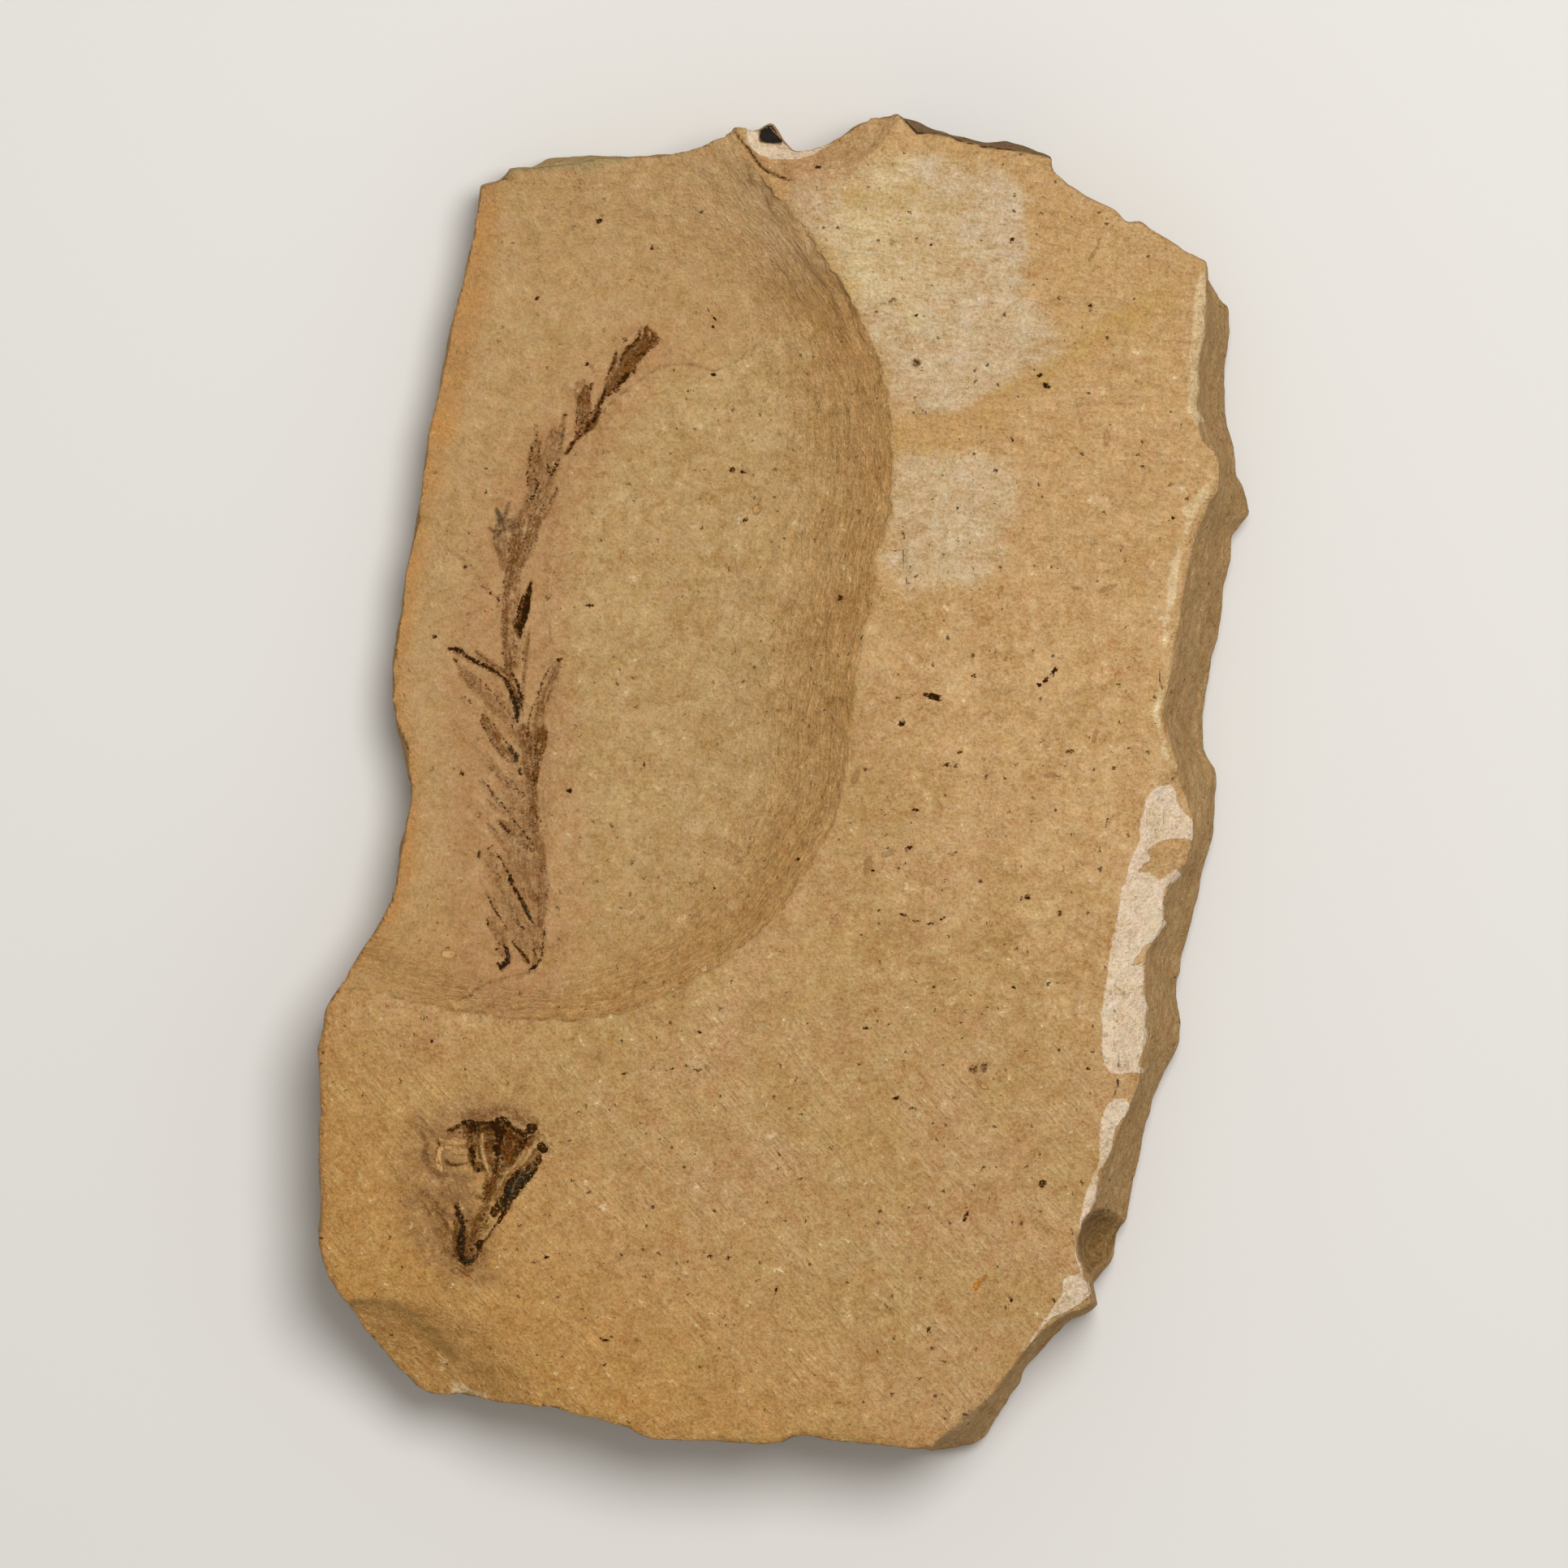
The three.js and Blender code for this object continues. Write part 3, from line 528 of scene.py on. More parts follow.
    ("blue", 0.65, [(-34.02, 34.61, 0.2), (-34.46, 33.36, 0.35), (-35.36, 31.94, 0.4),
        (-35.89, 30.33, 0.35), (-35.62, 29.08, 0.2)]),
    ("blue", 0.6, [(-32.86, 32.65, 0.25), (-33.75, 32.47, 0.35), (-35.0, 32.47, 0.4)]),
    ("blue", 0.5, [(-36.43, 31.58, 0.25), (-35.54, 31.58, 0.3)]),
    ("blue", 0.45, [(-34.82, 31.58, 0.3), (-34.46, 29.97, 0.3), (-34.55, 28.72, 0.2)]),
    ("blue", 0.85, [(-35.36, 32.56, 0.25), (-35.09, 32.11, 0.26), (-34.46, 31.76, 0.16),
        (-33.57, 31.94, 0.22)]),
    ("blue", 0.75, [(-36.34, 31.58, 0.2), (-35.89, 31.13, 0.26), (-35.18, 30.77, 0.22),
        (-35.27, 29.79, 0.12), (-35.62, 28.9, 0.14)]),
    ("blue", 0.6, [(-34.82, 31.22, 0.1), (-34.46, 29.97, 0.12), (-34.29, 28.9, 0.14)]),
    ("blue", 0.5, [(-33.21, 32.47, 0.14), (-33.57, 31.76, 0.2)]),
    ("ink", 0.4, [(-36.07, 31.4, 0.18), (-35.14, 30.72, 0.18), (-35.21, 32.38, 0.16)]),
    # stained stone beside the stem
    ("haze", 0.62, [(-33.04, 25.15, 0.6), (-33.21, 22.65, 0.7), (-33.39, 20.15, 0.7), (-33.3, 17.47, 0.7),
        (-33.21, 14.79, 0.6)]),
    ("haze", 0.46, [(-35.18, 11.58, 0.6), (-34.82, 9.44, 0.8), (-33.75, 7.29, 0.9), (-31.26, 4.67, 1.2),
        (-31.85, 1.71, 1.2)]),
    ("haze", 0.42, [(-33.24, 1.91, 0.9), (-33.63, 0.13, 0.9), (-34.82, -1.65, 0.8), (-33.24, -3.63, 0.9),
        (-32.05, -5.21, 0.8)]),
    ("haze", 0.34, [(-34.82, -6.4, 0.8), (-33.24, -8.38, 1.1), (-32.45, -10.35, 1.2), (-31.66, -12.73, 1.1),
        (-31.26, -15.1, 1.0)]),
    ("haze", 0.3, [(-36.01, -12.73, 0.7), (-34.82, -15.1, 0.8), (-33.24, -17.87, 0.8),
        (-32.25, -20.24, 0.6)]),
    ("haze", 0.36, [(-35.36, 31.58, 1.0), (-35.0, 29.97, 1.1), (-34.82, 28.19, 0.8)]),
    # the faint stroke at the left
    ("film", 0.24, [(-42.68, 30.15, 0.2), (-40.89, 28.54, 0.4), (-38.75, 27.11, 0.4), (-37.5, 24.97, 0.5),
        (-35.89, 23.19, 0.4)]),
    ("ink", 0.42, [(-37.32, 24.52, 0.16), (-36.7, 23.9, 0.16), (-36.16, 23.36, 0.18), (-35.45, 23.19, 0.2),
        (-35.14, 22.38, 0.25)]),
    ("ink", 0.25, [(-37.68, 21.13, 0.11), (-36.07, 21.4, 0.11)]),
    # the black leaf and the two that part below it
    ("film", 1.0, [(-31.3, 24.94, 0.14), (-31.57, 23.72, 0.4), (-32.0, 21.94, 0.55), (-32.46, 20.33, 0.5),
        (-32.89, 19.08, 0.46), (-32.64, 18.19, 0.2)]),
    ("rust", 0.45, [(-32.54, 21.94, 0.3), (-32.95, 20.33, 0.3)]),
    ("ink", 1.0, [(-31.3, 24.86, 0.16), (-31.52, 23.9, 0.34), (-31.93, 22.11, 0.47), (-32.23, 20.51, 0.38),
        (-32.71, 19.26, 0.38), (-32.64, 18.22, 0.18)]),
    ("ink", 0.75, [(-32.32, 23.19, 0.22), (-32.77, 21.22, 0.31), (-33.21, 19.44, 0.27)]),
    ("film", 0.5, [(-31.61, 19.17, 0.14), (-31.7, 17.47, 0.28), (-31.82, 15.69, 0.28),
        (-32.11, 13.72, 0.26), (-32.32, 11.94, 0.24), (-32.46, 10.15, 0.2)]),
    ("ink", 0.4, [(-31.57, 19.08, 0.07), (-31.61, 17.11, 0.09), (-31.93, 14.61, 0.11),
        (-32.18, 12.83, 0.13), (-32.36, 10.51, 0.13)]),
    ("ink", 0.36, [(-32.05, 18.54, 0.07), (-32.18, 16.58, 0.09), (-32.32, 14.79, 0.09)]),
    ("ink", 0.92, [(-41.39, 16.79, 0.18), (-40.8, 16.76, 0.25), (-40.18, 16.58, 0.27),
        (-39.61, 16.01, 0.22), (-38.93, 15.51, 0.18), (-38.21, 15.06, 0.18), (-37.23, 14.7, 0.18),
        (-36.43, 14.4, 0.21), (-35.62, 13.81, 0.19), (-34.73, 13.19, 0.15)]),
    ("ink", 0.8, [(-41.07, 16.72, 0.2), (-40.0, 16.44, 0.28), (-39.07, 15.69, 0.24), (-36.61, 14.47, 0.24),
        (-35.36, 13.63, 0.26)]),
    ("haze", 0.8, [(-41.07, 16.67, 0.3), (-39.46, 15.86, 0.5), (-36.61, 14.44, 0.5), (-34.82, 13.36, 0.5)]),
    ("film", 0.9, [(-34.46, 13.01, 0.3), (-33.75, 11.76, 0.5), (-33.21, 10.15, 0.5), (-32.95, 8.54, 0.35)]),
    ("ink", 0.92, [(-34.61, 13.1, 0.18), (-34.11, 12.11, 0.29), (-33.66, 10.86, 0.34), (-33.25, 9.61, 0.38),
        (-33.07, 8.36, 0.31), (-33.04, 7.83, 0.16)]),
    ("ink", 0.72, [(-33.66, 13.9, 0.13), (-33.39, 13.01, 0.22), (-32.95, 11.94, 0.29),
        (-32.68, 10.69, 0.27), (-32.59, 9.44, 0.25)]),
    ("green", 0.85, [(-33.04, 10.86, 0.2), (-33.12, 9.08, 0.35), (-33.21, 8.19, 0.25)]),
    ("ink", 0.55, [(-32.29, 11.58, 0.11), (-32.32, 10.15, 0.13), (-32.32, 8.54, 0.09)]),
    ("film", 0.4, [(-40.54, 15.33, 0.35), (-39.64, 13.72, 0.6), (-38.39, 12.29, 0.8), (-36.96, 10.86, 0.8),
        (-35.54, 9.26, 0.7), (-34.11, 7.83, 0.4)]),
    ("green", 0.5, [(-39.91, 13.63, 0.16), (-38.93, 13.81, 0.16), (-38.21, 13.28, 0.16),
        (-38.57, 11.94, 0.2)]),
    ("ink", 0.34, [(-40.0, 13.81, 0.11), (-39.2, 13.99, 0.13), (-38.39, 13.63, 0.13)]),
    ("ink", 0.48, [(-38.04, 13.28, 0.09), (-36.88, 12.11, 0.11), (-35.89, 11.13, 0.13), (-35.0, 9.97, 0.12),
        (-34.11, 8.81, 0.13), (-33.39, 7.92, 0.11)]),
    ("ink", 0.6, [(-40.68, 15.47, 0.29)]),
    ("ink", 0.3, [(-40.54, 15.15, 0.09), (-39.46, 13.36, 0.11), (-38.57, 11.94, 0.11),
        (-37.14, 10.51, 0.11)]),
    ("ink", 0.4, [(-39.46, 10.78, 0.16), (-38.84, 10.33, 0.27)]),
    ("film", 0.52, [(-37.14, 8.54, 0.4), (-36.43, 7.11, 0.7), (-35.62, 5.86, 0.7), (-35.81, 5.46, 0.6),
        (-34.62, 3.88, 0.7), (-33.43, 2.89, 0.4)]),
    ("green", 0.45, [(-37.23, 8.72, 0.16), (-37.5, 7.65, 0.18), (-36.61, 6.22, 0.16), (-35.89, 4.79, 0.16),
        (-34.82, 3.29, 0.2)]),
    ("ink", 0.5, [(-37.29, 8.81, 0.16), (-37.5, 7.74, 0.16), (-36.7, 6.22, 0.13), (-36.1, 5.27, 0.16),
        (-35.31, 4.38, 0.18), (-34.32, 3.09, 0.11)]),
    ("ink", 0.5, [(-37.11, 8.81, 0.13), (-35.89, 7.29, 0.16), (-35.36, 6.4, 0.13), (-35.31, 6.45, 0.13),
        (-33.83, 4.67, 0.16)]),
    ("green", 0.9, [(-33.83, 4.38, 0.25), (-33.14, 3.68, 0.38), (-33.08, 2.99, 0.3)]),
    ("ink", 0.6, [(-33.14, 3.49, 0.31)]),
    ("ink", 0.55, [(-33.96, 7.29, 0.16), (-33.54, 7.08, 0.18)]),
    # the broad leaf on the right
    ("film", 0.5, [(-27.59, 15.06, 0.25), (-28.21, 14.08, 0.5), (-28.93, 12.65, 0.6), (-29.55, 11.04, 0.65),
        (-30.09, 9.44, 0.7), (-30.36, 7.65, 0.8), (-30.45, 5.86, 0.9)]),
    ("ink", 0.9, [(-27.46, 15.4, 0.13), (-27.89, 15.19, 0.2)]),
    ("ink", 0.5, [(-28.3, 14.97, 0.11), (-28.93, 14.26, 0.13), (-29.55, 13.36, 0.16), (-30.0, 12.29, 0.18),
        (-30.45, 11.04, 0.16), (-31.16, 9.26, 0.13), (-31.7, 7.83, 0.18), (-31.88, 6.4, 0.22),
        (-31.88, 5.95, 0.22)]),
    ("ink", 0.24, [(-27.41, 14.79, 0.07), (-28.21, 13.01, 0.09), (-28.75, 11.4, 0.09),
        (-29.02, 9.44, 0.09)]),
    ("rust", 0.35, [(-30.54, 9.61, 0.4), (-31.25, 6.94, 0.4), (-30.54, 5.86, 0.5)]),
    # the broad lower stem
    ("film", 0.78, [(-29.97, 6.65, 0.8), (-30.17, 4.67, 0.75), (-30.57, 2.7, 0.65), (-30.86, 0.72, 0.45),
        (-30.96, -0.17, 0.3)]),
    ("film", 0.6, [(-32.25, 6.65, 0.9), (-31.85, 4.87, 0.9), (-31.66, 2.89, 0.8), (-31.56, 1.11, 0.7),
        (-31.26, -0.47, 0.7), (-31.06, -2.25, 0.7), (-30.86, -4.03, 0.6), (-30.77, -5.61, 0.45)]),
    ("rust", 0.65, [(-30.86, 5.46, 0.5), (-30.86, 3.29, 0.5), (-31.26, 1.51, 0.4), (-31.06, 0.32, 0.3)]),
    ("rust", 0.45, [(-29.48, 5.46, 0.3), (-29.97, 3.09, 0.25)]),
    ("ink", 0.55, [(-30.57, 6.65, 0.13), (-30.63, 4.87, 0.16), (-30.77, 3.49, 0.25), (-30.31, 2.89, 0.16),
        (-30.47, 1.51, 0.2), (-30.63, 0.13, 0.18)]),
    ("ink", 0.7, [(-31.06, 1.02, 0.22), (-31.06, 0.22, 0.34), (-31.06, -0.17, 0.16)]),
    ("ink", 0.5, [(-31.75, 6.25, 0.27), (-31.46, 4.87, 0.13), (-31.56, 3.29, 0.13), (-31.46, 1.91, 0.16)]),
    ("ink", 0.34, [(-29.38, 6.45, 0.09), (-29.68, 4.48, 0.11), (-30.07, 2.3, 0.11)]),
    ("ink", 0.55, [(-32.49, 1.21, 0.27), (-32.64, 2.2, 0.13)]),
    ("ink", 0.44, [(-31.16, -1.26, 0.16), (-31.06, -2.84, 0.2), (-30.86, -4.42, 0.27),
        (-30.57, -5.21, 0.2)]),
    ("ink", 0.3, [(-30.47, -1.65, 0.11), (-30.37, -3.63, 0.13), (-30.17, -5.01, 0.16)]),
    ("film", 0.3, [(-29.78, -0.86, 0.25), (-29.78, -2.64, 0.35), (-29.88, -4.42, 0.25)]),
    ("film", 0.46, [(-30.67, -6.4, 0.7), (-30.37, -8.38, 0.8), (-30.17, -10.35, 0.8), (-29.97, -12.33, 0.7),
        (-30.07, -14.11, 0.7), (-30.17, -16.09, 0.6), (-30.27, -18.26, 0.5), (-30.37, -20.24, 0.45)]),
    ("film", 0.55, [(-30.47, -13.61, 0.6), (-30.37, -14.7, 0.6)]),
    ("ink", 0.36, [(-30.57, -13.81, 0.39), (-30.17, -14.5, 0.34)]),
    ("ink", 0.32, [(-29.97, -9.17, 0.11), (-29.58, -11.24, 0.13), (-29.32, -12.33, 0.13),
        (-29.48, -14.7, 0.16), (-29.64, -16.09, 0.11)]),
    # the long leaves on the left
    ("film", 0.34, [(-32.45, -0.86, 1.4), (-32.84, -3.63, 1.9), (-32.84, -7.19, 2.1), (-32.64, -11.14, 2.2),
        (-32.45, -14.7, 2.1), (-32.25, -17.87, 1.6), (-32.05, -20.63, 0.9)]),
    ("film", 0.3, [(-34.23, -9.17, 1.2), (-34.82, -12.13, 1.4), (-34.82, -15.1, 1.4), (-35.02, -18.06, 1.2),
        (-34.82, -20.04, 0.8)]),
    ("film", 0.24, [(-38.38, 5.07, 0.4), (-37.19, 3.88, 0.5), (-35.81, 2.3, 0.5)]),
    ("film", 0.4, [(-35.91, 2.0, 0.4), (-34.62, 0.52, 0.5), (-33.43, -0.67, 0.6), (-32.25, -1.65, 0.5)]),
    ("ink", 0.45, [(-34.32, 0.22, 0.27), (-34.13, -0.17, 0.16)]),
    ("ink", 0.48, [(-33.24, -0.27, 0.16), (-32.84, -0.76, 0.25), (-32.15, -1.26, 0.18)]),
    ("green", 0.45, [(-32.94, -0.57, 0.22), (-34.03, 0.72, 0.16)]),
    ("film", 0.34, [(-37.78, 0.52, 0.2), (-36.6, -0.67, 0.35), (-35.21, -2.25, 0.4), (-33.83, -3.43, 0.4)]),
    ("ink", 0.5, [(-36.7, -0.67, 0.13), (-36.01, -1.36, 0.13), (-35.51, -1.89, 0.25), (-34.82, -2.54, 0.2),
        (-34.23, -3.33, 0.13)]),
    ("rust", 0.65, [(-33.83, -3.0, 0.2), (-33.24, -3.08, 0.28)]),
    ("ink", 0.4, [(-37.59, -3.83, 0.29)]),
    ("rust", 0.55, [(-36.7, -5.01, 0.2), (-36.1, -5.51, 0.28), (-35.51, -6.1, 0.16)]),
    ("film", 0.5, [(-35.31, -4.42, 0.3), (-34.23, -5.21, 0.7), (-33.24, -6.0, 0.8), (-32.25, -6.99, 0.7),
        (-31.16, -8.08, 0.3)]),
    ("ink", 0.6, [(-35.31, -4.62, 0.16), (-34.72, -5.37, 0.22), (-34.07, -5.65, 0.27),
        (-34.23, -6.1, 0.13)]),
    ("ink", 0.62, [(-33.93, -3.93, 0.11), (-33.34, -4.62, 0.13), (-32.74, -5.17, 0.12)]),
    ("ink", 0.62, [(-32.35, -5.61, 0.18), (-31.85, -6.3, 0.22), (-31.36, -6.99, 0.22),
        (-31.1, -7.88, 0.13)]),
    ("ink", 0.6, [(-32.29, -7.62, 0.16), (-31.75, -7.94, 0.2), (-31.1, -8.14, 0.13)]),
    ("olive", 0.55, [(-32.05, -6.79, 0.4), (-31.26, -7.19, 0.3), (-31.26, -6.0, 0.3)]),
    ("rust", 0.4, [(-34.03, -8.08, 0.24)]),
    ("ink", 0.45, [(-36.01, -7.58, 0.13), (-36.5, -7.74, 0.16), (-36.64, -8.28, 0.11)]),
    ("green", 0.8, [(-37.73, -8.22, 0.2), (-37.73, -8.87, 0.24)]),
    ("ink", 0.45, [(-37.73, -8.57, 0.2)]),
    ("ink", 0.7, [(-35.45, -8.77, 0.25), (-35.02, -9.27, 0.11), (-34.38, -10.45, 0.22),
        (-34.13, -10.95, 0.11)]),
    ("ink", 0.92, [(-33.93, -11.34, 0.27), (-33.79, -12.03, 0.34), (-33.53, -12.43, 0.13),
        (-33.14, -13.02, 0.27), (-32.88, -13.32, 0.11), (-32.6, -14.11, 0.25), (-32.25, -14.8, 0.31),
        (-31.89, -15.59, 0.31), (-31.56, -16.24, 0.25), (-31.1, -16.98, 0.09)]),
    ("blue", 0.75, [(-32.35, -14.6, 0.18), (-31.85, -15.49, 0.26), (-31.42, -16.38, 0.22)]),
    ("rust", 0.4, [(-34.13, -13.12, 0.3), (-32.84, -11.14, 0.3)]),
    ("ink", 0.34, [(-35.65, -9.76, 0.16), (-35.57, -10.75, 0.16), (-35.12, -11.34, 0.16)]),
    ("ink", 0.36, [(-33.47, -15.3, 0.2), (-33.53, -15.79, 0.18)]),
    ("ink", 0.62, [(-33.14, -16.48, 0.11), (-32.74, -17.07, 0.16), (-32.21, -17.91, 0.16)]),
    ("ink", 0.85, [(-36.89, -13.48, 0.06), (-36.3, -14.5, 0.11), (-35.77, -15.49, 0.13),
        (-35.21, -16.38, 0.16), (-34.72, -17.27, 0.13), (-34.19, -18.1, 0.08)]),
    ("rust", 0.45, [(-35.81, -15.49, 0.2), (-35.02, -16.78, 0.2)]),
    ("ink", 0.8, [(-33.59, -19.41, 0.13), (-32.94, -20.14, 0.16), (-32.35, -20.93, 0.2),
        (-31.89, -21.42, 0.22), (-31.66, -21.98, 0.18)]),
    ("ink", 0.66, [(-29.64, -16.09, 0.08), (-29.72, -18.06, 0.11), (-29.84, -20.04, 0.15),
        (-29.97, -21.23, 0.18), (-30.37, -22.02, 0.16)]),
    ("ink", 0.88, [(-30.57, -22.25, 0.2), (-30.96, -22.51, 0.29), (-31.46, -22.85, 0.13)]),
    ("ink", 0.66, [(-30.96, -19.64, 0.16), (-30.9, -20.53, 0.22), (-30.77, -20.93, 0.16)]),
    ("olive", 0.6, [(-30.27, -20.44, 0.2), (-30.07, -19.05, 0.2), (-31.46, -23.1, 0.2)]),
    ("film", 0.46, [(-36.6, -5.01, 0.3), (-35.61, -6.2, 0.4), (-34.42, -7.98, 0.4), (-33.93, -9.17, 0.25)]),
    ("film", 0.44, [(-36.3, -9.17, 0.25), (-35.91, -10.75, 0.35), (-35.12, -12.73, 0.35),
        (-34.23, -14.7, 0.3)]),
    ("film", 0.44, [(-32.84, -9.17, 0.3), (-32.05, -11.14, 0.5), (-31.26, -13.12, 0.5),
        (-30.86, -14.7, 0.4)]),
    ("film", 0.4, [(-34.42, -9.76, 0.2), (-33.83, -12.33, 0.3), (-32.84, -14.31, 0.3)]),
    ("film", 0.46, [(-33.93, -14.7, 0.3), (-33.34, -16.48, 0.35), (-32.55, -18.26, 0.35),
        (-32.05, -19.64, 0.25)]),
    ("film", 0.44, [(-31.66, -17.07, 0.35), (-31.06, -18.85, 0.4), (-30.77, -20.63, 0.35),
        (-30.67, -21.82, 0.3)]),
    ("film", 0.36, [(-36.8, -13.12, 0.2), (-36.01, -14.7, 0.3), (-35.02, -16.28, 0.3),
        (-34.23, -17.87, 0.2)]),
    ("film", 0.44, [(-34.82, 1.11, 0.3), (-33.63, -0.07, 0.4), (-32.45, -1.26, 0.4), (-31.46, -2.05, 0.3)]),
    ("film", 0.44, [(-32.45, -2.84, 0.4), (-31.85, -4.42, 0.4), (-31.06, -6.0, 0.4)]),
    ("rust", 0.42, [(-35.81, -8.38, 0.12), (-35.12, -10.16, 0.16), (-34.82, -12.33, 0.14)]),
    ("rust", 0.42, [(-32.45, -1.65, 0.14), (-31.85, -2.84, 0.2), (-31.46, -4.42, 0.14)]),
    ("rust", 0.5, [(-34.82, 0.13, 0.2), (-34.13, -0.67, 0.24), (-33.14, -1.26, 0.16)]),
    ("rust", 0.36, [(-30.86, -8.38, 0.1), (-30.07, -9.76, 0.14), (-29.68, -11.14, 0.12)]),
    ("rust", 0.4, [(-33.24, -14.31, 0.12), (-32.84, -16.09, 0.14), (-32.05, -18.26, 0.14)]),
    ("rust", 0.34, [(-31.66, -7.19, 0.3), (-30.86, -9.17, 0.3), (-30.67, -11.14, 0.3)]),
    ("olive", 0.34, [(-36.2, 1.91, 0.2), (-35.02, -0.07, 0.24), (-32.84, -2.84, 0.2)]),
    ("pale", 0.22, [(-34.82, -4.03, 0.16), (-33.24, -5.01, 0.2), (-32.05, -6.0, 0.12)]),
    ("pale", 0.2, [(-34.23, -7.19, 0.2), (-32.84, -9.56, 0.3), (-32.05, -11.93, 0.25)]),
    ("pale", 0.22, [(-35.12, -16.28, 0.2), (-34.03, -18.85, 0.25), (-32.84, -21.03, 0.2)]),
    # the torn end
    ("film", 0.4, [(-36.5, -16.68, 0.4), (-35.81, -17.87, 0.6), (-35.02, -19.05, 0.8),
        (-34.62, -20.63, 0.8)]),
    ("ink", 0.72, [(-36.6, -16.68, 0.16), (-36.7, -17.17, 0.16), (-36.4, -17.47, 0.2),
        (-36.2, -16.98, 0.13)]),
    ("ink", 0.5, [(-35.57, -20.3, 0.16)]),
    ("ink", 0.95, [(-34.58, -19.94, 0.18), (-34.27, -20.44, 0.25), (-34.07, -21.23, 0.25),
        (-34.38, -21.98, 0.47), (-34.86, -22.61, 0.34), (-35.45, -22.06, 0.13)]),
    ("blue", 0.8, [(-34.13, -20.44, 0.26), (-33.93, -21.23, 0.26), (-34.23, -22.02, 0.24)]),
    ("ink", 0.3, [(-35.31, -19.05, 0.13), (-35.02, -21.23, 0.22)]),
    ("film", 0.8, [(-38.2, 16.4, 0.16), (-37.2, 15.7, 0.22), (-36.1, 14.8, 0.26), (-35.0, 14.2, 0.28),
        (-34.0, 13.4, 0.3)]),
    ("haze", 0.9, [(-38.1, 16.2, 0.3), (-36.8, 15.2, 0.4), (-35.4, 14.4, 0.45), (-34.1, 13.7, 0.45)]),
    # reddish brown beside the stem
    ("rust", 0.42, [(-37.5, 3.1, 0.3), (-35.5, 1.1, 0.5), (-33.2, -0.8, 0.5), (-31.8, -2.4, 0.4)]),
    ("rust", 0.5, [(-31.1, 6.7, 0.4), (-31.4, 1.6, 0.5), (-31.6, -3.4, 0.45), (-31.2, -6.3, 0.3)]),
    ("film", 0.42, [(-36.8, -1.9, 0.3), (-34.5, -3.9, 0.4), (-32.2, -6.3, 0.5), (-31.1, -8.3, 0.4)]),
    ("olive", 0.55, [(-35.5, -4.2, 0.15), (-33.5, -6.2, 0.24), (-31.6, -8.2, 0.24)]),
    ("ink", 0.6, [(-37.4, 0.7, 0.08), (-35.8, -1.4, 0.12), (-34.4, -3.1, 0.12), (-32.8, -5.2, 0.14),
        (-31.4, -7.0, 0.16), (-30.9, -8.1, 0.1)]),
    ("rust", 0.3, [(-36.8, -8.3, 0.8), (-35.0, -13.3, 1.0), (-33.1, -18.4, 1.0)]),
    ("rust", 0.3, [(-31.9, -9.3, 0.7), (-31.2, -14.3, 0.8), (-31.2, -19.4, 0.8)]),
    ("green", 0.6, [(-34.0, 4.5, 0.22), (-33.4, 3.5, 0.28)]),
    ("blue", 0.45, [(-35.9, 30.4, 0.5), (-34.8, 32.1, 0.7), (-33.6, 31.6, 0.5)]),
]

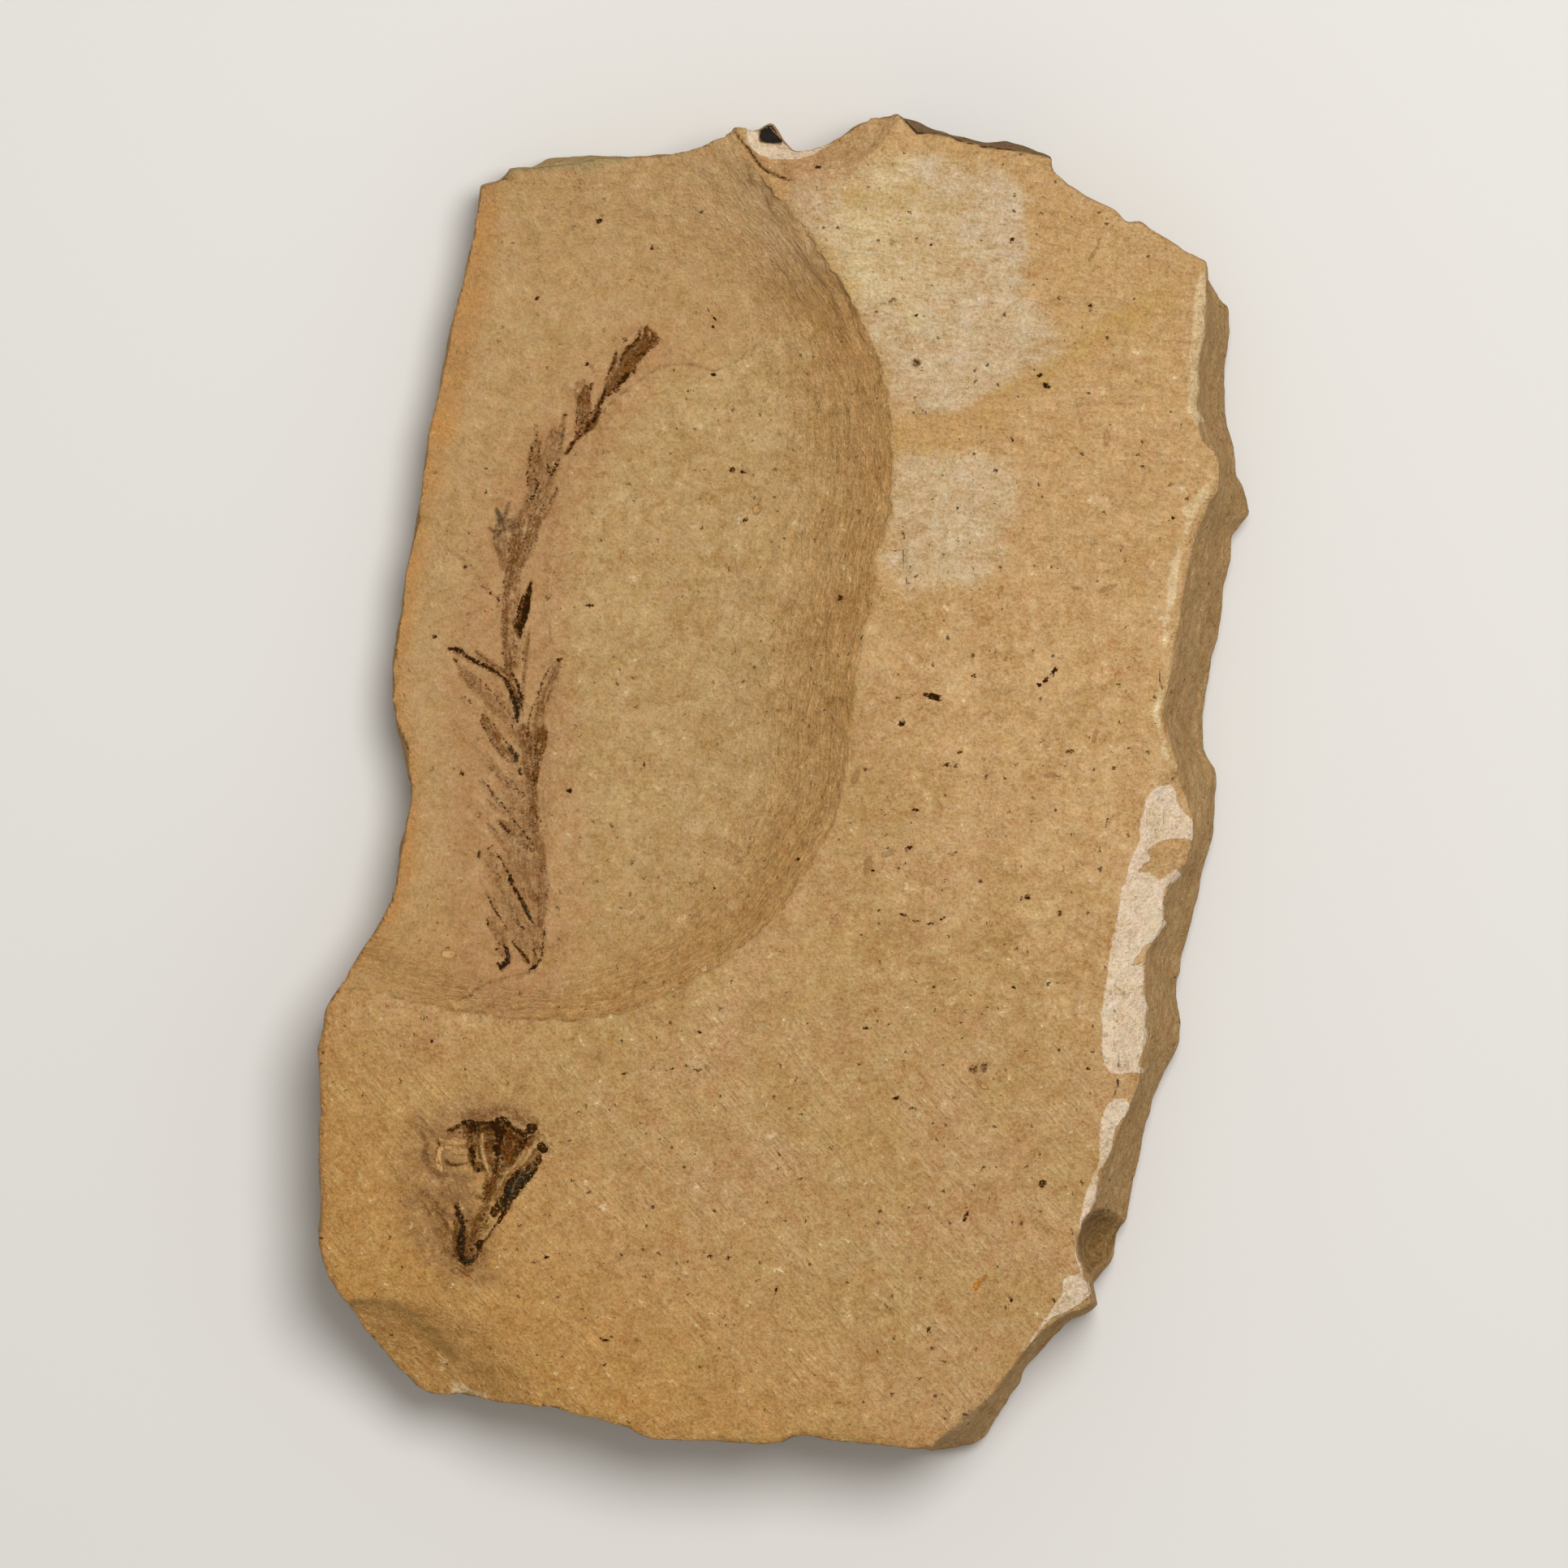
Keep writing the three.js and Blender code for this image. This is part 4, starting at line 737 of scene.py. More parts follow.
CONE_SCALE = [
    # the stained stone around it
    ("haze", 0.55, [(-39.02, -40.82, 0.7), (-37.14, -40.56, 0.9), (-34.87, -40.29, 0.9),
        (-32.86, -41.09, 0.8), (-30.85, -41.63, 0.7)]),
    ("haze", 0.45, [(-30.45, -42.56, 0.7), (-29.11, -43.37, 0.8), (-28.98, -44.97, 0.5)]),
    ("haze", 0.36, [(-44.64, -50.06, 0.5), (-43.57, -51.13, 0.8), (-42.37, -52.2, 0.9),
        (-40.89, -53.81, 0.7)]),
    ("haze", 0.6, [(-42.5, -54.62, 0.8), (-41.3, -56.22, 0.9), (-40.63, -57.83, 0.8), (-40.89, -59.17, 0.8),
        (-39.29, -60.24, 0.6)]),
    ("haze", 0.7, [(-39.02, -54.75, 0.8), (-38.35, -56.22, 0.8), (-37.68, -54.88, 0.8),
        (-36.61, -53.81, 0.6)]),
    ("haze", 0.6, [(-38.75, -59.03, 0.6), (-37.41, -58.63, 0.6), (-36.88, -57.29, 0.5)]),
    ("haze", 0.24, [(-38.22, -49.53, 0.7), (-37.68, -51.13, 0.7), (-37.95, -52.74, 0.7)]),
    # the brown and olive ground between the rays
    ("film", 1.0, [(-38.95, -42.43, 0.4), (-37.68, -42.7, 0.7), (-36.07, -42.43, 0.8),
        (-34.47, -42.43, 0.9), (-32.86, -43.37, 0.8)]),
    ("film", 0.95, [(-38.35, -44.44, 0.4), (-37.14, -44.71, 0.8), (-35.54, -44.44, 1.0),
        (-33.93, -44.97, 0.9)]),
    ("film", 0.85, [(-37.68, -46.85, 0.5), (-36.34, -46.85, 0.9), (-35.0, -46.85, 0.8),
        (-35.81, -48.72, 0.8), (-36.61, -50.6, 0.6)]),
    ("film", 0.7, [(-36.88, -51.94, 0.6), (-37.68, -53.28, 0.6), (-38.22, -54.62, 0.6),
        (-38.35, -56.22, 0.5)]),
    ("film", 0.6, [(-31.12, -43.77, 0.5), (-32.06, -45.11, 0.5), (-33.4, -46.85, 0.5),
        (-34.47, -48.72, 0.5), (-35.54, -50.73, 0.5)]),
    ("film", 0.6, [(-30.45, -45.11, 0.4), (-31.25, -46.05, 0.4), (-32.32, -47.12, 0.4)]),
    ("film", 0.7, [(-39.29, -42.56, 0.4), (-39.15, -43.77, 0.4), (-38.75, -45.11, 0.4),
        (-38.35, -46.58, 0.3)]),
    ("ink", 0.5, [(-34.73, -42.83, 0.68), (-33.53, -43.1, 0.54), (-34.47, -43.9, 0.54),
        (-34.33, -45.11, 0.47)]),
    ("ink", 0.4, [(-37.95, -42.56, 0.41), (-37.68, -43.77, 0.41), (-37.55, -45.24, 0.34),
        (-36.34, -42.83, 0.41), (-36.07, -44.04, 0.41)]),
    ("film", 0.75, [(-39.29, -42.3, 0.5), (-38.95, -43.77, 0.6), (-38.55, -45.51, 0.55),
        (-38.08, -47.25, 0.35)]),
    ("film", 0.55, [(-36.88, -42.56, 1.2), (-36.34, -44.71, 1.1), (-36.07, -46.58, 0.9),
        (-36.27, -48.72, 0.7), (-36.61, -50.87, 0.5)]),
    ("olive", 0.85, [(-37.68, -41.89, 0.4), (-37.61, -43.77, 0.35), (-37.35, -45.78, 0.35),
        (-37.14, -47.38, 0.3)]),
    ("olive", 0.6, [(-36.27, -42.5, 0.35), (-35.94, -43.77, 0.3), (-35.87, -44.71, 0.25)]),
    ("olive", 0.55, [(-34.73, -44.97, 0.4), (-34.6, -46.31, 0.4), (-34.73, -47.65, 0.35),
        (-35.54, -49.53, 0.35)]),
    ("film", 0.9, [(-33.8, -43.23, 0.9), (-32.86, -44.04, 1.1), (-33.53, -45.38, 0.8),
        (-34.13, -46.58, 0.5)]),
    ("rust", 0.95, [(-34.2, -42.97, 0.5), (-33.4, -43.5, 0.7), (-33.8, -44.71, 0.6), (-34.33, -45.64, 0.5),
        (-34.73, -47.38, 0.3)]),
    ("rust", 0.95, [(-30.98, -43.23, 0.3), (-31.39, -43.9, 0.55), (-32.06, -44.57, 0.5),
        (-32.73, -45.11, 0.3)]),
    ("rust", 0.55, [(-30.45, -42.97, 0.4), (-30.85, -43.77, 0.4)]),
    ("ink", 0.62, [(-31.86, -42.97, 0.61), (-32.32, -44.04, 0.57), (-33.06, -45.11, 0.49),
        (-33.53, -46.18, 0.32)]),
    ("ink", 0.5, [(-34.2, -43.37, 0.19), (-33.93, -44.44, 0.24), (-34.33, -45.24, 0.19),
        (-34.87, -46.05, 0.16)]),
    ("rust", 0.85, [(-37.01, -49.13, 0.2), (-36.41, -49.53, 0.5), (-36.74, -50.46, 0.3),
        (-37.14, -51.27, 0.2)]),
    ("ink", 0.5, [(-37.01, -49.19, 0.16), (-35.94, -49.02, 0.19)]),
    ("ink", 0.55, [(-36.72, -49.33, 0.3), (-36.81, -50.06, 0.27), (-37.01, -51.2, 0.22)]),
    ("olive", 0.65, [(-37.68, -50.6, 0.35), (-36.88, -51.0, 0.35)]),
    ("rust", 0.4, [(-37.95, -52.2, 0.3), (-37.01, -51.8, 0.3)]),
    ("ink", 0.62, [(-38.75, -42.1, 0.36), (-37.68, -42.1, 0.42), (-36.07, -42.1, 0.46),
        (-34.73, -42.1, 0.46), (-33.4, -42.7, 0.4), (-31.52, -42.86, 0.44)]),
    ("ink", 0.58, [(-38.55, -42.83, 0.28), (-38.35, -44.97, 0.34), (-38.06, -47.12, 0.28)]),
    ("ink", 0.58, [(-35.14, -42.83, 0.46), (-35.27, -44.97, 0.46), (-35.54, -47.38, 0.28)]),
    ("ink", 0.55, [(-32.06, -43.23, 0.46), (-33.4, -45.64, 0.36), (-33.8, -46.58, 0.2)]),
    ("ink", 0.5, [(-36.88, -49.26, 0.44), (-36.88, -51.13, 0.28)]),
    ("ink", 0.45, [(-37.68, -53.54, 0.3), (-37.01, -52.74, 0.3), (-36.88, -54.35, 0.3),
        (-38.22, -55.15, 0.2)]),
    # the top edge
    ("rust", 0.8, [(-41.97, -42.51, 0.08), (-41.03, -42.4, 0.26), (-40.22, -42.03, 0.22),
        (-39.55, -41.69, 0.2)]),
    ("ink", 0.66, [(-42.03, -42.52, 0.07), (-41.03, -42.38, 0.27), (-40.22, -41.96, 0.22),
        (-39.49, -41.56, 0.19)]),
    ("ink", 0.95, [(-39.62, -41.71, 0.24), (-39.15, -41.57, 0.4), (-38.75, -41.69, 0.6),
        (-38.38, -41.89, 0.66), (-38.24, -42.46, 0.44)]),
    ("ink", 0.85, [(-38.22, -41.6, 0.34), (-37.14, -41.63, 0.34), (-36.07, -41.65, 0.4),
        (-35.14, -41.36, 0.48), (-34.6, -41.36, 0.5), (-33.86, -41.73, 0.36)]),
    ("green", 0.7, [(-38.08, -41.43, 0.16), (-37.48, -41.47, 0.14)]),
    ("ink", 0.55, [(-37.95, -41.39, 0.14), (-37.41, -41.47, 0.14)]),
    ("ink", 0.85, [(-37.14, -41.65, 0.19), (-36.61, -41.83, 0.3), (-36.07, -41.56, 0.32),
        (-35.54, -41.36, 0.27), (-34.94, -41.06, 0.27), (-34.33, -41.16, 0.24), (-33.86, -41.76, 0.22),
        (-33.46, -42.19, 0.24), (-32.86, -42.54, 0.27), (-32.19, -42.8, 0.3), (-31.65, -42.56, 0.42),
        (-31.19, -42.23, 0.66), (-30.74, -42.1, 0.46)]),
    ("ink", 1.0, [(-35.87, -41.76, 0.5), (-35.34, -42.23, 0.68), (-34.84, -42.62, 0.6)]),
    ("rust", 0.7, [(-34.2, -41.49, 0.2), (-33.66, -42.23, 0.2)]),
    ("pale", 0.3, [(-34.87, -41.83, 0.22)]),
    # the rays
    ("rust", 0.7, [(-38.75, -42.7, 0.25), (-38.55, -43.5, 0.25)]),
    ("ink", 0.72, [(-38.75, -42.5, 0.27), (-38.62, -43.23, 0.3), (-38.48, -43.63, 0.16)]),
    ("pale", 0.45, [(-38.32, -42.76, 0.12), (-38.22, -43.5, 0.13)]),
    ("ink", 0.95, [(-38.59, -44.68, 0.24), (-38.42, -45.24, 0.38), (-38.24, -45.71, 0.27)]),
    ("ink", 0.9, [(-38.32, -46.31, 0.24), (-38.19, -46.85, 0.27), (-37.84, -47.36, 0.3)]),
    ("pale", 0.4, [(-37.97, -46.65, 0.12), (-38.22, -47.92, 0.2)]),
    ("ink", 0.55, [(-38.06, -42.83, 0.16), (-37.97, -44.17, 0.14)]),
    ("pale", 0.85, [(-37.14, -42.9, 0.18), (-37.2, -44.17, 0.2), (-37.01, -45.51, 0.22),
        (-36.68, -46.85, 0.22), (-36.37, -48.05, 0.16)]),
    ("ink", 0.95, [(-35.24, -42.7, 0.52), (-35.11, -43.5, 0.46), (-35.32, -44.3, 0.4),
        (-35.54, -44.97, 0.4)]),
    ("ink", 0.97, [(-35.67, -44.51, 0.35), (-35.34, -44.84, 0.49), (-35.27, -45.44, 0.3)]),
    ("ink", 0.7, [(-35.38, -45.91, 0.24), (-35.54, -46.65, 0.19)]),
    ("ink", 0.9, [(-35.74, -47.36, 0.27), (-35.6, -47.45, 0.35)]),
    ("rust", 0.6, [(-36.34, -45.24, 0.25), (-36.27, -46.05, 0.2)]),
    ("ink", 0.45, [(-36.41, -45.64, 0.19), (-35.94, -46.85, 0.16)]),
    ("pale", 0.7, [(-31.99, -45.04, 0.2), (-32.59, -45.98, 0.24), (-33.33, -46.85, 0.18),
        (-34.47, -47.92, 0.16), (-35.0, -49.26, 0.16)]),
    # the thick right edge
    ("ink", 1.0, [(-29.83, -44.55, 0.58), (-29.57, -44.79, 0.54)]),
    ("haze", 0.6, [(-30.18, -43.77, 0.4), (-29.38, -44.44, 0.4)]),
    ("ink", 0.7, [(-30.18, -45.64, 0.36), (-30.61, -46.31, 0.5), (-31.39, -47.25, 0.66),
        (-32.06, -47.92, 0.74), (-32.86, -48.59, 0.86), (-33.46, -49.39, 0.86), (-33.86, -50.33, 0.7),
        (-34.33, -51.27, 0.6), (-34.87, -52.07, 0.52), (-35.54, -52.54, 0.4)]),
    ("ink", 0.95, [(-32.39, -47.52, 0.26), (-33.06, -48.19, 0.46), (-33.66, -48.99, 0.52),
        (-34.13, -50.06, 0.44), (-34.47, -51.0, 0.3)]),
    ("ink", 0.75, [(-30.85, -46.98, 0.26), (-31.52, -48.05, 0.34), (-32.32, -49.13, 0.36),
        (-33.06, -50.2, 0.34)]),
    ("green", 0.8, [(-30.85, -46.65, 0.3), (-31.72, -47.72, 0.6), (-32.73, -48.46, 0.7),
        (-33.53, -49.53, 0.6), (-34.13, -50.73, 0.5), (-34.87, -51.8, 0.4)]),
    ("blue", 0.6, [(-32.46, -48.12, 0.3), (-33.19, -49.13, 0.4), (-33.8, -50.06, 0.35)]),
    ("ink", 0.88, [(-29.98, -46.05, 0.16), (-30.65, -47.25, 0.22), (-31.39, -48.25, 0.24),
        (-32.19, -49.06, 0.22), (-32.86, -49.93, 0.24), (-33.6, -51.0, 0.24), (-34.27, -52.2, 0.27),
        (-34.87, -53.14, 0.3), (-35.07, -53.61, 0.27)]),
    ("ink", 0.8, [(-32.86, -47.45, 0.27), (-33.53, -48.19, 0.27), (-34.13, -48.99, 0.24),
        (-34.6, -50.46, 0.22), (-35.54, -51.6, 0.32), (-36.07, -52.47, 0.35), (-35.83, -52.87, 0.27)]),
    ("pale", 0.6, [(-30.72, -45.91, 0.1), (-31.25, -46.31, 0.14), (-31.12, -46.78, 0.1)]),
    ("pale", 0.4, [(-32.19, -47.12, 0.12), (-32.73, -48.05, 0.08), (-33.33, -49.19, 0.1),
        (-33.66, -50.06, 0.08)]),
    ("green", 0.7, [(-36.61, -52.74, 0.22), (-36.68, -53.28, 0.18)]),
    ("rust", 0.5, [(-32.73, -46.98, 0.3), (-31.92, -46.31, 0.25)]),
    # down to the foot
    ("ink", 0.72, [(-35.14, -53.68, 0.22), (-35.74, -54.35, 0.16), (-36.27, -55.22, 0.16),
        (-36.68, -55.95, 0.19)]),
    ("rust", 0.7, [(-35.54, -54.15, 0.2), (-36.34, -55.28, 0.22), (-36.88, -55.95, 0.2)]),
    ("ink", 0.95, [(-37.01, -56.16, 0.27), (-37.48, -56.42, 0.46), (-37.68, -56.76, 0.41),
        (-37.48, -57.16, 0.3)]),
    ("ink", 0.68, [(-37.61, -57.36, 0.22), (-37.95, -58.03, 0.24), (-38.42, -58.43, 0.3),
        (-38.75, -58.7, 0.27)]),
    ("blue", 0.65, [(-37.88, -57.83, 0.2), (-38.55, -58.3, 0.3), (-38.95, -58.36, 0.3)]),
    ("ink", 0.6, [(-38.82, -56.62, 0.19), (-38.22, -56.56, 0.19), (-37.81, -56.6, 0.19)]),
    ("ink", 0.6, [(-38.44, -57.13, 0.27)]),
    ("olive", 0.7, [(-37.68, -53.54, 0.35), (-37.35, -54.21, 0.4), (-37.01, -54.68, 0.3)]),
    ("ink", 0.5, [(-39.35, -53.52, 0.16), (-38.62, -53.74, 0.27), (-38.22, -53.54, 0.27),
        (-37.68, -53.14, 0.16)]),
    ("film", 0.45, [(-38.75, -54.35, 0.4), (-38.48, -55.42, 0.6), (-38.22, -56.49, 0.5),
        (-38.48, -57.56, 0.5)]),
    ("ink", 0.8, [(-40.22, -51.0, 0.18), (-40.28, -51.94, 0.34), (-40.16, -52.54, 0.38),
        (-39.96, -53.14, 0.4), (-39.73, -53.95, 0.42), (-39.69, -54.75, 0.5), (-39.8, -55.55, 0.58),
        (-39.85, -56.62, 0.56), (-39.9, -57.29, 0.48), (-39.72, -58.03, 0.54), (-39.29, -58.63, 0.5),
        (-38.75, -58.77, 0.34)]),
    ("ink", 1.0, [(-39.8, -55.15, 0.34), (-39.9, -55.89, 0.42), (-39.85, -56.76, 0.36),
        (-39.8, -57.69, 0.3), (-39.49, -58.5, 0.36)]),
    ("film", 0.72, [(-40.56, -53.54, 0.3), (-40.47, -54.88, 0.5), (-40.56, -56.22, 0.6),
        (-40.49, -57.69, 0.5)]),
    ("film", 0.8, [(-39.15, -55.02, 0.4), (-39.09, -56.22, 0.6), (-38.89, -57.29, 0.7),
        (-38.62, -58.1, 0.5)]),
    ("rust", 0.5, [(-40.89, -55.15, 0.4), (-41.03, -56.62, 0.5), (-40.63, -58.1, 0.5)]),
    ("haze", 0.6, [(-41.56, -55.42, 0.9), (-41.3, -57.03, 1.0), (-40.36, -59.17, 0.7),
        (-38.75, -59.57, 0.6)]),
    ("green", 0.6, [(-40.22, -52.07, 0.2), (-39.82, -53.54, 0.25), (-39.69, -54.75, 0.25),
        (-39.55, -58.1, 0.3), (-38.89, -58.63, 0.3)]),
    ("blue", 0.5, [(-39.62, -54.35, 0.2), (-39.42, -58.1, 0.25)]),
    # the worn left half
    ("film", 0.34, [(-47.46, -41.36, 0.3), (-45.92, -41.69, 0.35), (-44.51, -42.23, 0.4),
        (-43.24, -42.86, 0.3)]),
    ("film", 0.4, [(-44.72, -42.89, 0.35), (-44.11, -44.3, 0.5), (-44.38, -45.78, 0.5),
        (-43.71, -47.12, 0.45), (-42.23, -47.99, 0.35)]),
    ("rust", 0.36, [(-44.78, -42.97, 0.3), (-44.24, -44.3, 0.35), (-44.38, -45.78, 0.35),
        (-43.71, -47.12, 0.35)]),
    ("film", 0.36, [(-43.84, -47.38, 0.35), (-42.23, -47.92, 0.45), (-40.49, -48.35, 0.35),
        (-39.02, -47.92, 0.3)]),
    ("film", 0.38, [(-39.55, -42.7, 0.4), (-40.49, -42.7, 0.3), (-41.43, -42.86, 0.3)]),
    ("ink", 0.62, [(-42.74, -43.63, 0.14), (-42.61, -43.97, 0.18), (-42.37, -44.55, 0.16)]),
    ("rust", 0.85, [(-41.76, -46.11, 0.14), (-41.54, -46.47, 0.26), (-41.09, -46.74, 0.28),
        (-40.29, -46.74, 0.22), (-39.55, -46.58, 0.18), (-38.91, -46.45, 0.1)]),
    ("ink", 0.62, [(-41.7, -46.18, 0.1), (-41.48, -46.5, 0.2), (-41.03, -46.8, 0.2), (-40.36, -46.74, 0.12),
        (-39.29, -46.51, 0.06)]),
    ("film", 0.46, [(-44.42, -50.0, 0.3), (-43.57, -51.0, 0.42), (-42.43, -52.07, 0.45),
        (-41.43, -52.87, 0.3)]),
    ("rust", 0.36, [(-44.42, -50.06, 0.25), (-43.57, -51.0, 0.35), (-42.43, -52.07, 0.35),
        (-41.43, -52.81, 0.25)]),
    ("olive", 0.55, [(-44.67, -49.79, 0.18), (-44.24, -50.46, 0.24), (-43.84, -50.87, 0.2)]),
    ("film", 0.42, [(-45.33, -50.46, 0.25), (-44.51, -51.4, 0.35), (-43.57, -52.74, 0.35)]),
    ("film", 0.56, [(-43.21, -51.96, 0.3), (-42.37, -53.01, 0.45), (-41.83, -53.81, 0.45),
        (-41.3, -54.75, 0.35)]),
    ("rust", 0.4, [(-42.9, -52.34, 0.3), (-41.97, -53.68, 0.4), (-41.23, -55.15, 0.5),
        (-40.89, -56.76, 0.6), (-40.63, -58.1, 0.5)]),
    ("film", 0.36, [(-42.1, -55.15, 0.6), (-41.3, -56.22, 0.8), (-40.89, -57.56, 0.8),
        (-40.89, -58.77, 0.7), (-39.55, -59.7, 0.5)]),
    ("film", 0.26, [(-40.49, -47.92, 0.4), (-39.02, -51.4, 0.6), (-38.62, -52.74, 0.5)]),
    ("pale", 0.84, [(-42.23, -43.5, 0.45), (-41.43, -43.7, 0.6), (-40.49, -43.77, 0.62),
        (-39.69, -43.84, 0.5)]),
    ("pale", 0.8, [(-41.56, -44.57, 0.4), (-40.36, -44.97, 0.55), (-39.42, -45.11, 0.45)]),
    ("pale", 1.0, [(-42.23, -44.77, 0.36), (-42.43, -45.38, 0.38), (-42.57, -46.18, 0.42),
        (-42.43, -46.98, 0.42), (-42.17, -47.38, 0.3)]),
    ("pale", 0.6, [(-41.83, -49.13, 0.5), (-40.89, -49.53, 0.8), (-39.82, -49.93, 0.8),
        (-38.75, -50.06, 0.6)]),
    ("pale", 0.45, [(-41.97, -50.6, 0.5), (-40.89, -51.0, 0.6), (-39.55, -50.87, 0.5)]),
    ("pale", 0.45, [(-39.55, -48.72, 0.4), (-38.22, -48.19, 0.3)]),
    ("pale", 0.5, [(-36.07, -53.81, 0.16), (-36.27, -54.35, 0.14)]),
    ("pale", 0.5, [(-33.46, -51.2, 0.14), (-33.8, -51.87, 0.12)]),
    ("pale", 0.45, [(-39.22, -53.88, 0.1), (-39.02, -54.75, 0.14)]),
    # the dark patch on its right side
    ("ink", 0.8, [(-32.86, -43.77, 0.22), (-32.06, -43.9, 0.3), (-31.39, -43.23, 0.22)]),
    ("ink", 0.7, [(-33.46, -45.44, 0.18), (-32.86, -44.71, 0.26)]),
]

